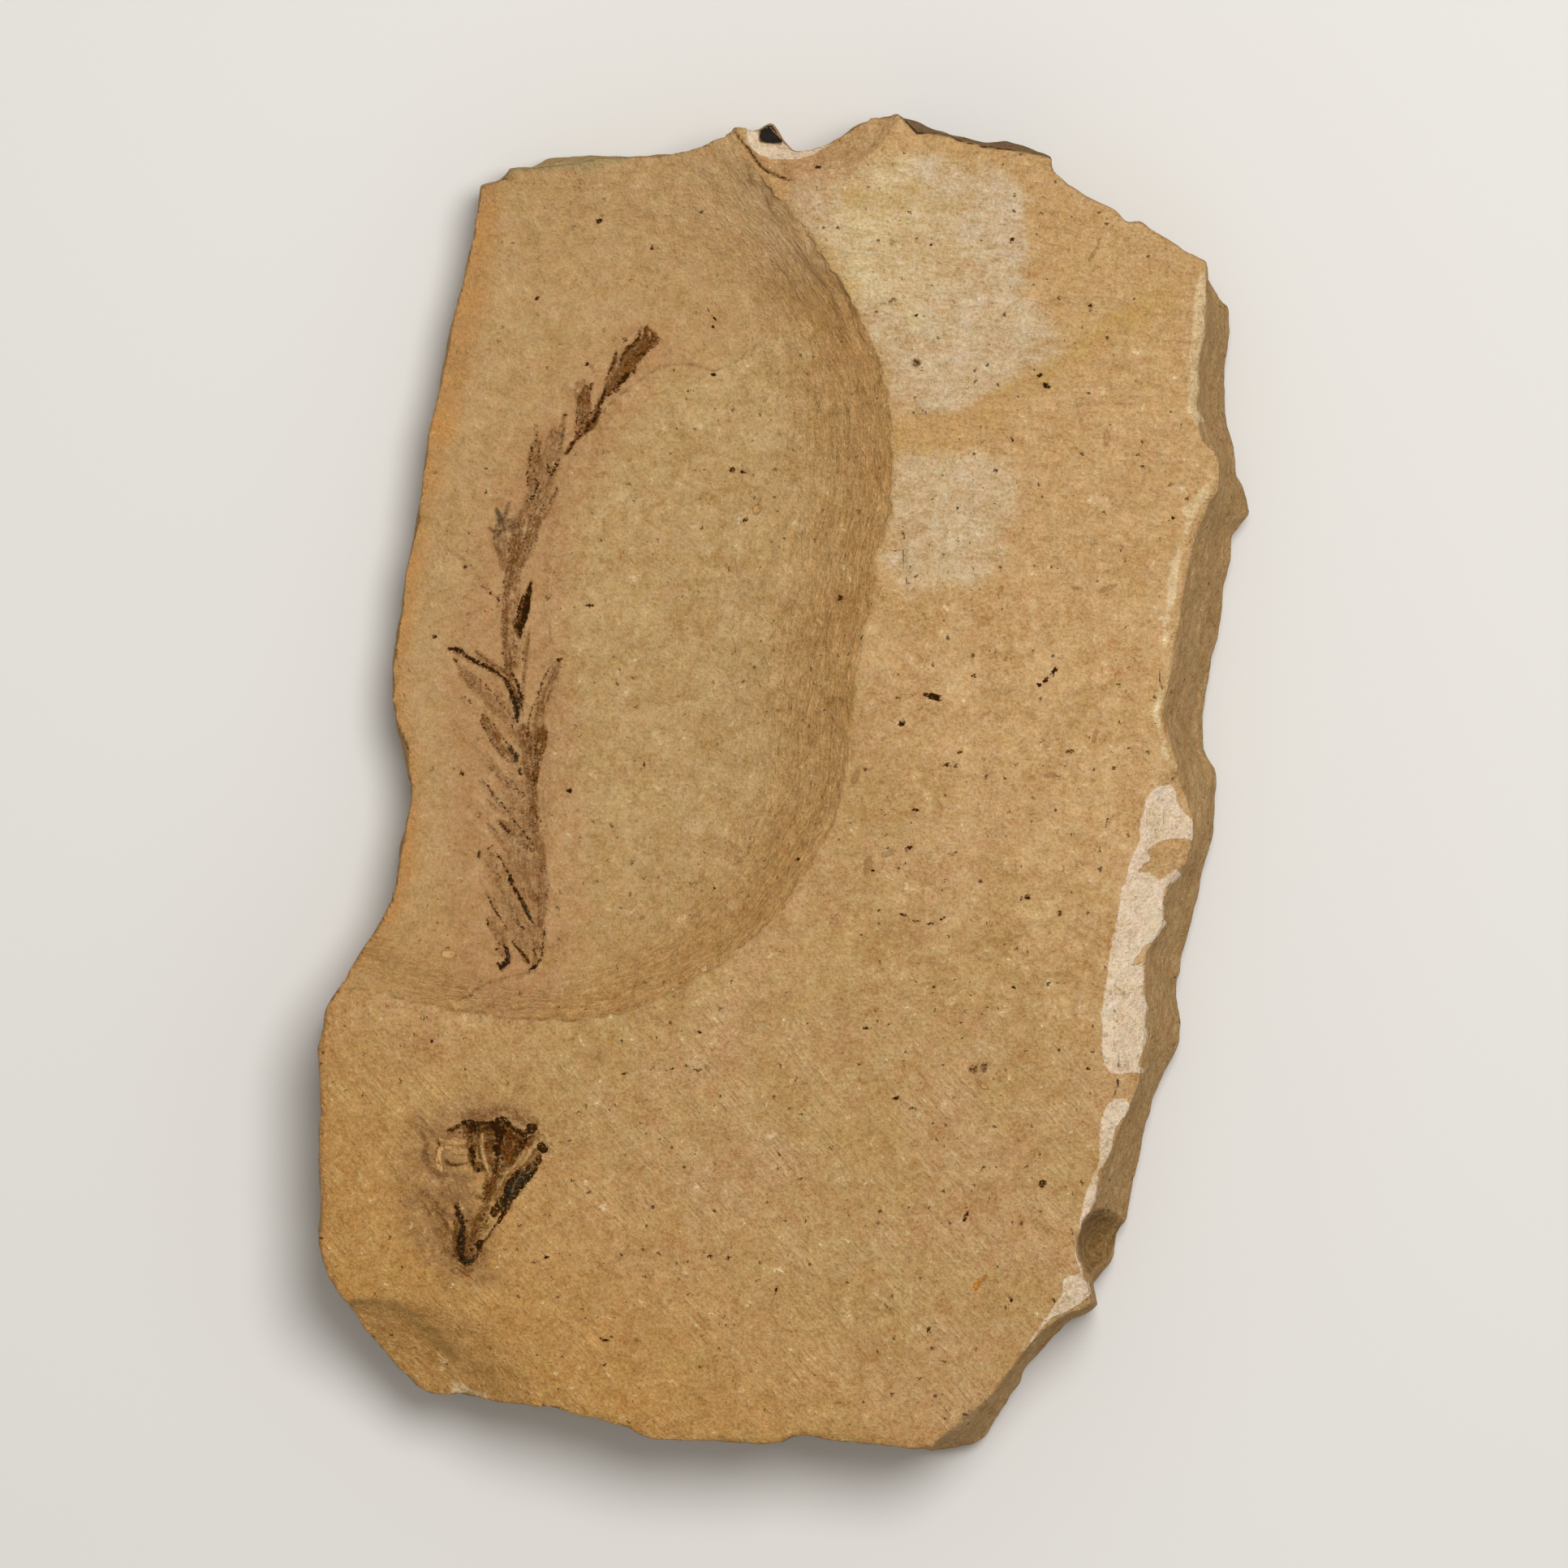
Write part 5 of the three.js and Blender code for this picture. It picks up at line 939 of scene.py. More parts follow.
# Crumbs of other plants: x, y, half length, half width and direction in degrees, then a kind and a strength.
CRUMBS = [
    (18.1, 10.8, 0.95, 0.4, -15, "ink", 1.0), (14.4, 7.5, 0.4, 0.35, 0, "ink", 0.85),
    (33.0, 13.9, 0.55, 0.28, 58, "ink", 1.0), (32.0, 12.8, 0.45, 0.22, 40, "ink", 1.0),
    (31.2, 12.3, 0.28, 0.24, 0, "ink", 1.0), (16.1, 51.8, 0.45, 0.42, 0, "rust", 1.0),
    (16.1, 51.8, 0.25, 0.22, 0, "ink", 0.5), (-8.8, 50.5, 0.3, 0.24, 0, "ink", 0.9),
    (-6.5, 38.8, 0.36, 0.28, 20, "ink", 0.9), (-5.2, 38.4, 0.3, 0.24, 0, "ink", 0.9),
    (-5.0, 32.5, 0.36, 0.24, 30, "ink", 0.6), (-24.1, 22.1, 0.36, 0.2, 0, "ink", 0.9),
    (6.8, 22.9, 0.32, 0.28, 0, "ink", 0.95), (37.5, 58.6, 0.5, 0.28, 85, "ink", 0.5),
    (31.2, 50.4, 0.36, 0.26, 30, "ink", 0.8), (32.0, 49.0, 0.44, 0.26, -40, "ink", 0.85),
    (47.5, 32.6, 0.34, 0.24, 20, "ink", 0.95), (23.1, -35.0, 0.48, 0.44, 0, "rust", 0.9),
    (24.4, -34.8, 0.4, 0.4, 0, "rust", 0.8), (23.1, -34.8, 0.24, 0.14, 30, "ink", 0.8),
    (24.4, -34.5, 0.22, 0.12, 0, "ink", 0.7), (24.2, -36.9, 0.7, 0.28, -35, "pale", 0.9),
    (13.7, -38.5, 0.34, 0.2, 10, "ink", 0.8), (15.6, -39.8, 0.3, 0.2, 0, "ink", 0.7),
    (31.6, -49.0, 0.52, 0.4, 60, "ink", 0.75), (33.5, -32.5, 0.36, 0.2, -20, "ink", 0.6),
    (9.8, -29.9, 0.34, 0.18, -20, "ink", 0.8), (12.8, -29.4, 0.24, 0.18, 0, "ink", 0.6),
    (15.2, -7.8, 0.4, 0.26, 30, "ink", 0.75), (14.6, -16.1, 0.28, 0.14, -30, "ink", 0.8),
    (16.1, -16.8, 0.34, 0.14, -10, "ink", 0.7), (17.9, -17.1, 0.34, 0.14, 5, "ink", 0.7),
    (19.4, -16.4, 0.28, 0.14, 40, "ink", 0.8), (22.2, -53.0, 0.55, 0.26, 70, "ink", 0.85),
    (17.6, -67.0, 0.34, 0.22, -60, "ink", 0.85), (-1.1, -62.1, 0.5, 0.14, 75, "ink", 0.6),
    (-9.1, -58.0, 0.26, 0.16, 0, "ink", 0.85), (-7.0, -58.2, 0.34, 0.2, 20, "ink", 0.85),
    (-22.2, -68.2, 0.44, 0.16, -12, "ink", 0.85), (-22.4, -71.3, 0.34, 0.14, 10, "ink", 0.85),
    (-22.9, 69.5, 0.32, 0.26, 0, "ink", 0.85), (-30.6, 60.0, 0.26, 0.22, 0, "ink", 0.85),
    (-16.4, 66.2, 0.24, 0.2, 40, "ink", 0.8), (-10.3, 70.5, 0.26, 0.2, 30, "ink", 0.6),
    (39.5, -4.5, 0.5, 0.12, 75, "ink", 0.95), (35.0, 4.0, 0.44, 0.34, 20, "ink", 0.55),
    (29.8, -13.8, 0.36, 0.26, -20, "ink", 0.8), (28.9, -14.1, 0.26, 0.16, 60, "ink", 0.8),
    (33.6, -15.8, 0.34, 0.3, 0, "ink", 0.5), (40.4, -27.9, 0.2, 0.18, 0, "ink", 0.8),
    (37.2, -34.9, 0.22, 0.2, 0, "ink", 0.75), (28.1, -24.9, 0.24, 0.2, 0, "ink", 0.75),
    (34.4, -24.4, 0.22, 0.18, 0, "ink", 0.6), (27.6, -63.1, 0.34, 0.22, -60, "ink", 0.7),
    (33.0, -63.4, 0.28, 0.22, -60, "ink", 0.65), (22.1, -77.3, 0.36, 0.24, -10, "ink", 0.6),
    (23.4, -69.3, 0.22, 0.2, 0, "rust", 0.6), (23.6, -61.5, 0.6, 0.3, 62, "gold", 1.0),
    (24.6, -60.5, 0.5, 0.24, 55, "gold", 0.7), (-3.5, 33.9, 0.55, 0.4, 60, "pale", 0.95),
    (-5.8, -9.3, 0.34, 0.3, 0, "pale", 0.9), (39.5, 42.6, 0.8, 0.32, 88, "pale", 0.8),
    (37.8, 65.2, 0.6, 0.2, 60, "pale", 0.7), (38.5, 66.7, 0.6, 0.14, 80, "pale", 0.5),
    (39.6, 24.1, 0.9, 0.25, 25, "pale", 0.75), (35.8, 24.1, 0.5, 0.25, -10, "pale", 0.6),
    (38.1, 6.2, 0.7, 0.25, 80, "pale", 0.8), (32.4, 1.1, 0.6, 0.22, 10, "pale", 0.75),
    (-41.5, -20.9, 0.8, 0.46, 5, "pale", 1.0), (-41.5, -20.1, 0.3, 0.16, 20, "ink", 0.6),
    (-9.2, 58.1, 0.9, 0.08, -52, "ink", 0.85), (-8.8, 56.5, 0.2, 0.18, 0, "ink", 0.9),
    (-36.8, 39.0, 0.24, 0.2, 0, "ink", 0.7), (-36.8, 36.0, 0.26, 0.2, -30, "ink", 0.6),
    (-39.0, 30.9, 0.22, 0.2, 0, "ink", 0.6), (-39.5, 26.8, 0.26, 0.22, 0, "ink", 0.7),
    (-38.8, 26.9, 0.24, 0.14, 0, "ink", 0.4), (-43.2, 18.2, 0.26, 0.18, -40, "ink", 0.7),
    (-39.5, 18.2, 0.22, 0.18, 0, "ink", 0.45), (-24.5, 51.8, 0.26, 0.22, 0, "ink", 0.8),
    (-23.9, 51.6, 0.26, 0.3, 0, "pale", 0.6), (-19.8, 54.9, 0.2, 0.18, 0, "ink", 0.6),
    (-26.6, -0.8, 0.3, 0.28, 0, "ink", 0.85), (-39.8, 1.4, 0.34, 0.28, 0, "ink", 0.6),
    (-21.1, 15.7, 0.3, 0.16, 80, "ink", 0.75), (-22.2, 15.8, 0.2, 0.14, 60, "ink", 0.4),
    (-17.4, 2.5, 0.4, 0.1, 80, "ink", 0.7), (3.8, 18.1, 0.24, 0.2, 0, "ink", 0.5),
    (27.9, 67.0, 0.36, 0.22, 40, "ink", 0.85), (17.9, 66.3, 0.22, 0.18, 0, "ink", 0.7),
    (13.1, 59.5, 0.4, 0.3, 30, "rust", 0.75), (13.4, 59.1, 0.2, 0.14, 0, "ink", 0.6),
    (12.2, 59.0, 0.3, 0.16, 0, "rust", 0.5), (13.1, 66.5, 0.44, 0.3, 80, "rust", 0.5),
    (16.1, 57.6, 0.22, 0.1, 0, "ink", 0.8), (17.1, 57.5, 0.14, 0.12, 0, "ink", 0.8),
    (4.0, 75.8, 0.3, 0.2, 0, "ink", 0.9), (25.8, 38.5, 0.34, 0.22, -60, "ink", 0.8),
    (27.8, 42.4, 0.22, 0.2, 0, "ink", 0.8), (19.2, 38.0, 0.26, 0.18, 20, "ink", 0.4),
    (19.9, 2.4, 0.36, 0.18, 10, "ink", 0.8), (23.2, 13.4, 0.34, 0.26, 60, "ink", 0.6),
    (16.1, -3.2, 0.32, 0.18, -15, "ink", 0.8), (21.4, 4.0, 0.28, 0.2, 0, "ink", 0.75),
    (-19.8, -35.5, 0.24, 0.18, 0, "ink", 0.85), (-16.4, -34.8, 0.3, 0.16, 20, "ink", 0.85),
    (-14.3, -35.0, 0.4, 0.12, 10, "ink", 0.5), (-12.2, -34.6, 0.4, 0.12, 10, "ink", 0.6),
    (-10.7, -35.0, 0.36, 0.16, 0, "ink", 0.85), (-9.6, -34.8, 0.44, 0.2, -20, "pale", 0.7),
    (-39.2, -35.1, 0.26, 0.16, -20, "ink", 0.8), (-43.4, -31.6, 0.2, 0.18, 0, "ink", 0.8),
    (-29.4, -58.0, 0.34, 0.16, 0, "ink", 0.8), (-44.4, -28.8, 0.36, 0.26, 20, "ink", 0.4),
    (-10.7, -30.4, 0.4, 0.12, -10, "ink", 0.8), (2.0, -40.5, 0.24, 0.16, 0, "ink", 0.7),
    (9.1, -34.4, 0.26, 0.2, 0, "ink", 0.6), (18.2, -24.9, 0.24, 0.16, 0, "ink", 0.6),
    (-8.8, -12.8, 0.3, 0.24, 0, "ink", 0.5), (1.6, -9.2, 0.2, 0.18, 0, "ink", 0.7),
    (10.2, -9.8, 1.1, 0.45, 75, "pale", 0.5), (12.7, -8.4, 0.8, 0.45, 20, "pale", 0.5),
    (8.6, 0.9, 0.9, 0.35, 70, "pale", 0.6), (10.8, -10.6, 0.2, 0.16, 0, "ink", 0.7),
    (12.3, -7.8, 0.3, 0.12, 20, "ink", 0.5), (-3.1, -0.8, 0.22, 0.18, 0, "ink", 0.5),
    (-11.6, 48.6, 0.36, 0.24, 30, "ink", 0.35), (-9.1, -14.1, 0.22, 0.2, 0, "pale", 0.6),
    (-17.6, -16.4, 0.3, 0.24, 0, "pale", 0.6),
]


# ---- Distances and outlines ----


def line_distance(points, line, half_widths=None):
    """How far points are from a line, or from its edge where it has half widths."""
    line = np.array(line, dtype=float)
    widths = np.zeros(len(line)) if half_widths is None else np.array(half_widths, dtype=float)
    best = np.full(len(points), 1e9)
    for i in range(max(1, len(line) - 1)):
        j = min(i + 1, len(line) - 1)
        along = line[j] - line[i]
        t = np.clip((points - line[i]) @ along / max(1e-12, along @ along), 0, 1)
        gap = np.linalg.norm(points - line[i] - t[:, None] * along, axis=1)
        best = np.minimum(best, gap - (1 - t) * widths[i] - t * widths[j])
    return best


def stroke_distance(points, stroke):
    """How far points are outside a stroke, whose points are x, y and half width."""
    stroke = np.array(stroke, dtype=float)
    return line_distance(points, stroke[:, :2], stroke[:, 2])


def stroke_lanes(points, stroke):
    """How far points are outside a stroke, how far to the left of its middle, and how far along it."""
    stroke = np.array(stroke, dtype=float)
    best = np.full(len(points), 1e9)
    side = np.zeros(len(points))
    way = np.zeros(len(points))
    gone = 0.0
    for start, end in zip(stroke, stroke[1:] if len(stroke) > 1 else stroke):
        step = end[:2] - start[:2]
        length = max(1e-6, np.linalg.norm(step))
        t = np.clip((points - start[:2]) @ step / length**2, 0, 1)
        away = points - start[:2] - t[:, None] * step
        gap = np.linalg.norm(away, axis=1) - (1 - t) * start[2] - t * end[2]
        nearer = gap < best
        best = np.where(nearer, gap, best)
        side = np.where(nearer, (step[0] * away[:, 1] - step[1] * away[:, 0]) / length, side)
        way = np.where(nearer, gone + t * length, way)
        gone += length
    return best, side, way


def inside(points, outline):
    """Which points lie inside a closed outline."""
    x, y = points.T
    found = np.zeros(len(points), dtype=bool)
    for (x0, y0), (x1, y1) in zip(outline, outline[1:] + outline[:1]):
        if y0 != y1:
            crosses = (y0 > y) != (y1 > y)
            found ^= crosses & (x < (x1 - x0) * (y - y0) / (y1 - y0) + x0)
    return found


def depth_inside(points, outline):
    """Distance from a closed outline, positive inside it."""
    gap = line_distance(points, outline + outline[:1])
    return np.where(inside(points, outline), gap, -gap)


def signed_depth(points, outline, edge):
    """Distance from an edge that is part of a closed outline, positive inside the outline."""
    gap = line_distance(points, edge)
    return np.where(inside(points, outline), gap, -gap)


def eased(values, start, end):
    """0 up to start and 1 from end on, eased between."""
    t = np.clip((values - start) / (end - start), 0, 1)
    return t * t * (3 - 2 * t)


# ---- Mesh helpers ----

TRIM_ROUNDS = 4  # cutting a corner away can leave another


def select_only(piece):
    bpy.ops.object.select_all(action="DESELECT")
    piece.select_set(True)
    bpy.context.view_layer.objects.active = piece


def apply_modifier(piece, kind, **settings):
    select_only(piece)
    modifier = piece.modifiers.new(kind.lower(), kind)
    for name, value in settings.items():
        setattr(modifier, name, value)
    bpy.ops.object.modifier_apply(modifier=modifier.name)


def cut_away(piece, chosen):
    """Deletes the chosen vertices."""
    select_only(piece)
    bpy.ops.object.mode_set(mode="EDIT")
    bpy.ops.mesh.select_all(action="DESELECT")
    bpy.ops.object.mode_set(mode="OBJECT")
    piece.data.vertices.foreach_set("select", chosen)
    bpy.ops.object.mode_set(mode="EDIT")
    bpy.ops.mesh.delete(type="VERT")
    bpy.ops.object.mode_set(mode="OBJECT")


def trim_corners(piece):
    """Removes loose points, and corners where two patches only touch, so that the sheet can be closed."""
    select_only(piece)
    bpy.ops.object.mode_set(mode="EDIT")
    bpy.ops.mesh.select_mode(type="VERT")
    for _ in range(TRIM_ROUNDS):
        bpy.ops.mesh.select_all(action="SELECT")
        bpy.ops.mesh.delete_loose()
        bpy.ops.mesh.select_non_manifold(extend=False, use_boundary=False)
        bpy.ops.mesh.delete(type="VERT")
    bpy.ops.mesh.select_all(action="SELECT")
    bpy.ops.mesh.delete_loose()
    bpy.ops.object.mode_set(mode="OBJECT")


def vertex_places(piece):
    """Its vertices, in millimetres."""
    places = np.empty(len(piece.data.vertices) * 3)
    piece.data.vertices.foreach_get("co", places)
    return places.reshape(-1, 3) / MM


def move_vertices(piece, places):
    piece.data.vertices.foreach_set("co", (places * MM).ravel())
    piece.data.update()


def vertex_normals(piece):
    normals = np.empty(len(piece.data.vertices) * 3)
    piece.data.vertex_normals.foreach_get("vector", normals)
    return normals.reshape(-1, 3)


def put_field(piece, name, values):
    """Gives the mesh a value at each vertex, which a material reads with field()."""
    layer = piece.data.attributes.new(name, "FLOAT", "POINT")
    layer.data.foreach_set("value", np.asarray(values, dtype=np.float32))


def read_field(piece, name):
    values = np.zeros(len(piece.data.vertices), dtype=np.float32)
    piece.data.attributes[name].data.foreach_get("value", values)
    return values


def lumps(places, size, seed):
    """Smooth noise from about -1 to 1. The lumps have a size in millimetres, or one size along each axis."""
    scaled = places / np.array(size) + np.array([seed * 7.31, seed * 3.17, seed * 5.03])
    return np.array([noise.noise(at) for at in scaled.tolist()])


def finish_piece(piece, material):
    """Paints a piece, smooths it and lets it ride on the stone's body."""
    select_only(piece)
    bpy.ops.object.shade_smooth()
    piece.data.materials.clear()
    piece.data.materials.append(material)
    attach(piece, "root")
    return piece


# ---- The stone ----

VOXEL = 0.42  # millimetres
STONE_FACES = 190_000
MERGE_DISTANCE = 1e-6  # metres
SOFTENING = 400  # rounds of smoothing
WEIGHT_STEPS = 10
UPPER_FACE = 12.0  # millimetres: marks on the upper face keep above this height
FAR_OUTSIDE = -9.0  # what a vertex carries that a mark doesn't reach

# The stone's colours, before the noise lightens and darkens them, with the grain's own tone and with painted
# light and shade on the bumps and dips.
STONE_COLOURS = {
    "silt": tone(192, 152, 104),
    # painted light: the bedding plane lighter towards the upper right, where the light falls stronger
    "warm silt": tone(187, 150, 97),
    "painted_light": tone(199, 160, 110),
    "corner": tone(190, 143, 80),
    "bleached": tone(204, 177, 140),
    "straw": tone(208, 182, 137),
    "middling": tone(204, 177, 138),
    "ochre": tone(189, 150, 86),
    "scar": tone(188, 151, 102),
    "inner layer": tone(189, 155, 105),
    "scar slope": tone(196, 149, 90),
    # painted light: lifts the shade on the head of the scar's slope
    "scar head light": tone(207, 168, 118),
    "scar foot": tone(172, 128, 72),
    "stain": tone(180, 134, 90),
    "halo": tone(138, 100, 66),
    "rust": tone(186, 133, 72),
    # the steep walls: partly their own browner colour, partly painted shade
    "wall": tone(174, 139, 92),
    "edge_wear_and_shade": tone(176, 148, 102),
    "edge brown, worn and shaded": tone(128, 99, 64),
    "lump": tone(36, 30, 26),
    "cream": tone(216, 187, 142),
    "fleck": tone(218, 192, 150),
    "chalk": tone(206, 178, 142),
    "fresh chalk": tone(230, 206, 176),
    "dull chalk": tone(176, 140, 102),
    "dot": tone(76, 46, 26),
    # painted shade in the creases
    "shaded_crease": tone(58, 42, 28),
    "shade": tone(134, 102, 52),
    # painted shade inside the pit, and its lighter mottle
    "pit": tone(112, 82, 42),
    "lit pit": tone(156, 122, 72),
}


def make_stone():
    """The slab with the surface of split stone: bedding planes in low relief, and layered broken edges."""
    stone = copy_slab()
    soften(stone)
    sculpt(stone)
    faces = sum(len(face.vertices) - 2 for face in stone.data.polygons)
    apply_modifier(stone, "DECIMATE", ratio=min(1.0, STONE_FACES / faces), use_collapse_triangulate=True)
    mark_stone(stone)
    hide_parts("slab")
    return finish_piece(stone, siltstone())


def copy_slab():
    """The slab's mesh as a piece of its own, with a grid fine enough to sculpt."""
    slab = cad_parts["slab"]
    stone = bpy.data.objects.new("split_stone", slab.data.copy())
    bpy.context.collection.objects.link(stone)
    select_only(stone)
    bpy.ops.object.mode_set(mode="EDIT")
    bpy.ops.mesh.select_all(action="SELECT")
    bpy.ops.mesh.remove_doubles(threshold=MERGE_DISTANCE)
    bpy.ops.object.mode_set(mode="OBJECT")
    apply_modifier(stone, "REMESH", mode="VOXEL", voxel_size=VOXEL * MM)
    return stone


def sculpt(stone):
    """Moves the surface: low relief on the bedding planes, ripples in the scar, layers in broken edges.

    The number before lumps() is how far it moves the surface, in millimetres. Its last number is a seed.
    """
    places = vertex_places(stone)
    normals = vertex_normals(stone)
    up = normals[:, 2]
    bedding = eased(up, 0.70, 0.92)
    broken = (1 - bedding) * eased(up, -0.75, -0.35)
    steep = 1 - up
    plan = places[:, :2].copy()
    x, y = plan.T
    scar = signed_depth(plan, SCAR, SCAR_RIM)
    layer = depth_inside(plan, INNER_LAYER)
    chalk = np.max([depth_inside(plan, outline) for outline in CHALK.values()], axis=0)
    shaded_crease = np.min([stroke_distance(plan, stroke) for stroke in SHADED_CREASES], axis=0)
    on_top = eased(up, 0.0, 0.3)

    # on the bedding planes, up and down
    floor = eased(scar, 0.2, 1.5) * (0.35 + 0.65 * eased(layer, -0.5, 1.0))
    rise = 0.10 * lumps(places, 6.0, 1) + 0.07 * lumps(places, 1.7, 2) + 0.035 * lumps(places, 0.9, 10)
    rise += floor * (0.08 * lumps(places, (3.0, 3.0, 0.8), 3) + 0.05 * lumps(places, (1.1, 1.1, 0.5), 4))
    rise += 0.11 * eased(y, 15.0, 32.0) * (scar < 0) * lumps(places, (4.2, 1.1, 2.0), 13)
    rise += 0.30 * eased(layer, -0.35, 0.25) * eased(scar, 0.0, 2.0) * eased(layer, 16.0, 3.0)
    rise -= eased(chalk, -0.2, 0.3) * (0.16 + 0.16 * lumps(places, 1.2, 5) + 0.10 * lumps(places, 0.7, 14))
    rise -= 0.14
    places[:, 2] += bedding * rise

    # on the slope of the scar: ripples along its rim, which is ragged
    slope = eased(steep, 0.01, 0.06) * eased(scar, -0.3, 1.0)
    by_rim = np.column_stack([scar, y * 0.30, x * 0.30])
    ripples = 0.13 * lumps(by_rim, 1.5, 15) + 0.20 * lumps(places, 2.0, 16) + 0.09 * lumps(places, 0.9, 20)
    places[:, 2] += slope * ripples
    ragged = eased(np.abs(scar), 2.2, 0.4) * on_top
    places[:, 0] += ragged * (0.45 * lumps(places, 2.2, 11) + 0.30 * lumps(places, 0.9, 17))
    places[:, 1] += ragged * (0.45 * lumps(places, 2.2, 12) + 0.30 * lumps(places, 0.9, 18))

    # on the broken edges, in and out, layer by layer
    layers = lumps(places, (14.0, 14.0, 1.3), 6) * 0.26 + lumps(places, (5.0, 5.0, 0.55), 7) * 0.12
    chips = 0.24 * lumps(places, 3.2, 8) + 0.13 * lumps(places, 1.4, 9) - 0.10
    places += (broken * (layers + chips))[:, None] * normals
    pit = depth_inside(plan, PIT)
    places[:, 2] -= on_top * (0.35 * eased(shaded_crease, 0.25, -0.05) + 1.5 * eased(pit, -0.1, 1.6))
    places[:, 2] = np.where((up < -0.9) & (places[:, 2] < 0.4), 0.0, places[:, 2])

    low, high = (np.array(corner) / MM for corner in CAD_BOX)
    move_vertices(stone, np.clip(places, low, high))
    put_field(stone, "steep", steep)
    put_field(stone, "scar", scar)


def soften(stone):
    """Lets the scar's slope run out into its floor, and the corner chip into the bedding plane."""
    places = vertex_places(stone)
    plan = places[:, :2]
    scar = signed_depth(plan, SCAR, SCAR_RIM)
    slope = eased(scar, 0.6, 3.5)
    low_rim = eased(plan[:, 0], -20.0, -28.0) * eased(plan[:, 1], -15.0, -20.0)
    high_rim = eased(plan[:, 1], 66.0, 71.0) * eased(plan[:, 0], -12.0, -8.0)
    faint = eased(np.abs(scar), 3.5, 1.0) * np.maximum(low_rim, high_rim)
    chip = eased(line_distance(plan, CHIP_BORDER), 7.0, 2.0)
    weights = np.max([slope, chip, faint], axis=0) * (vertex_normals(stone)[:, 2] > 0.3)
    group = stone.vertex_groups.new(name="soft")
    for step in range(1, WEIGHT_STEPS + 1):
        chosen = np.flatnonzero(np.round(weights * WEIGHT_STEPS) == step)
        group.add(chosen.tolist(), step / WEIGHT_STEPS, "REPLACE")
    up_and_down = {"use_x": False, "use_y": False}
    apply_modifier(stone, "SMOOTH", factor=0.5, iterations=SOFTENING, vertex_group="soft", **up_and_down)
    stone.vertex_groups.clear()


def mark_stone(stone):
    """Gives the stone the distances that its material is painted by."""
    places = vertex_places(stone)
    plan = places[:, :2]
    upward = eased(vertex_normals(stone)[:, 2], 0.02, 0.2)

    def reach(name, depth, above):
        put_field(stone, name, np.where((upward > 0.5) & (places[:, 2] > above), depth, FAR_OUTSIDE))

    def patch(name, outlines, above=UPPER_FACE):
        reach(name, np.max([depth_inside(plan, outline) for outline in outlines], axis=0), above)

    def lines(name, strokes, above=UPPER_FACE):
        reach(name, -np.min([stroke_distance(plan, stroke) for stroke in strokes], axis=0), above)

    put_field(stone, "layer", depth_inside(plan, INNER_LAYER))
    patch("chalk", CHALK.values())
    patch("cream", CREAM.values())
    patch("blanched", BLANCHED.values())
    patch("middling", MIDDLING.values())
    patch("lump", [LUMP])
    patch("pit", [PIT], above=2.0)
    lines("ochre", OCHRE)
    lines("shaded_crease", SHADED_CREASES, above=9.0)
    lines("shade", [LEDGE_SHADE])
    lines("stain", STAINS, above=8.0)
    lines("halo", [FAN_STAIN])
    umber = np.max([depth_inside(plan, outline) for outline in UMBER.values()], axis=0)
    put_field(stone, "umber", umber + (1 - upward) * 1.2)
    put_field(stone, "rust", -line_distance(plan, RUST_EDGE, RUST_WIDTH))


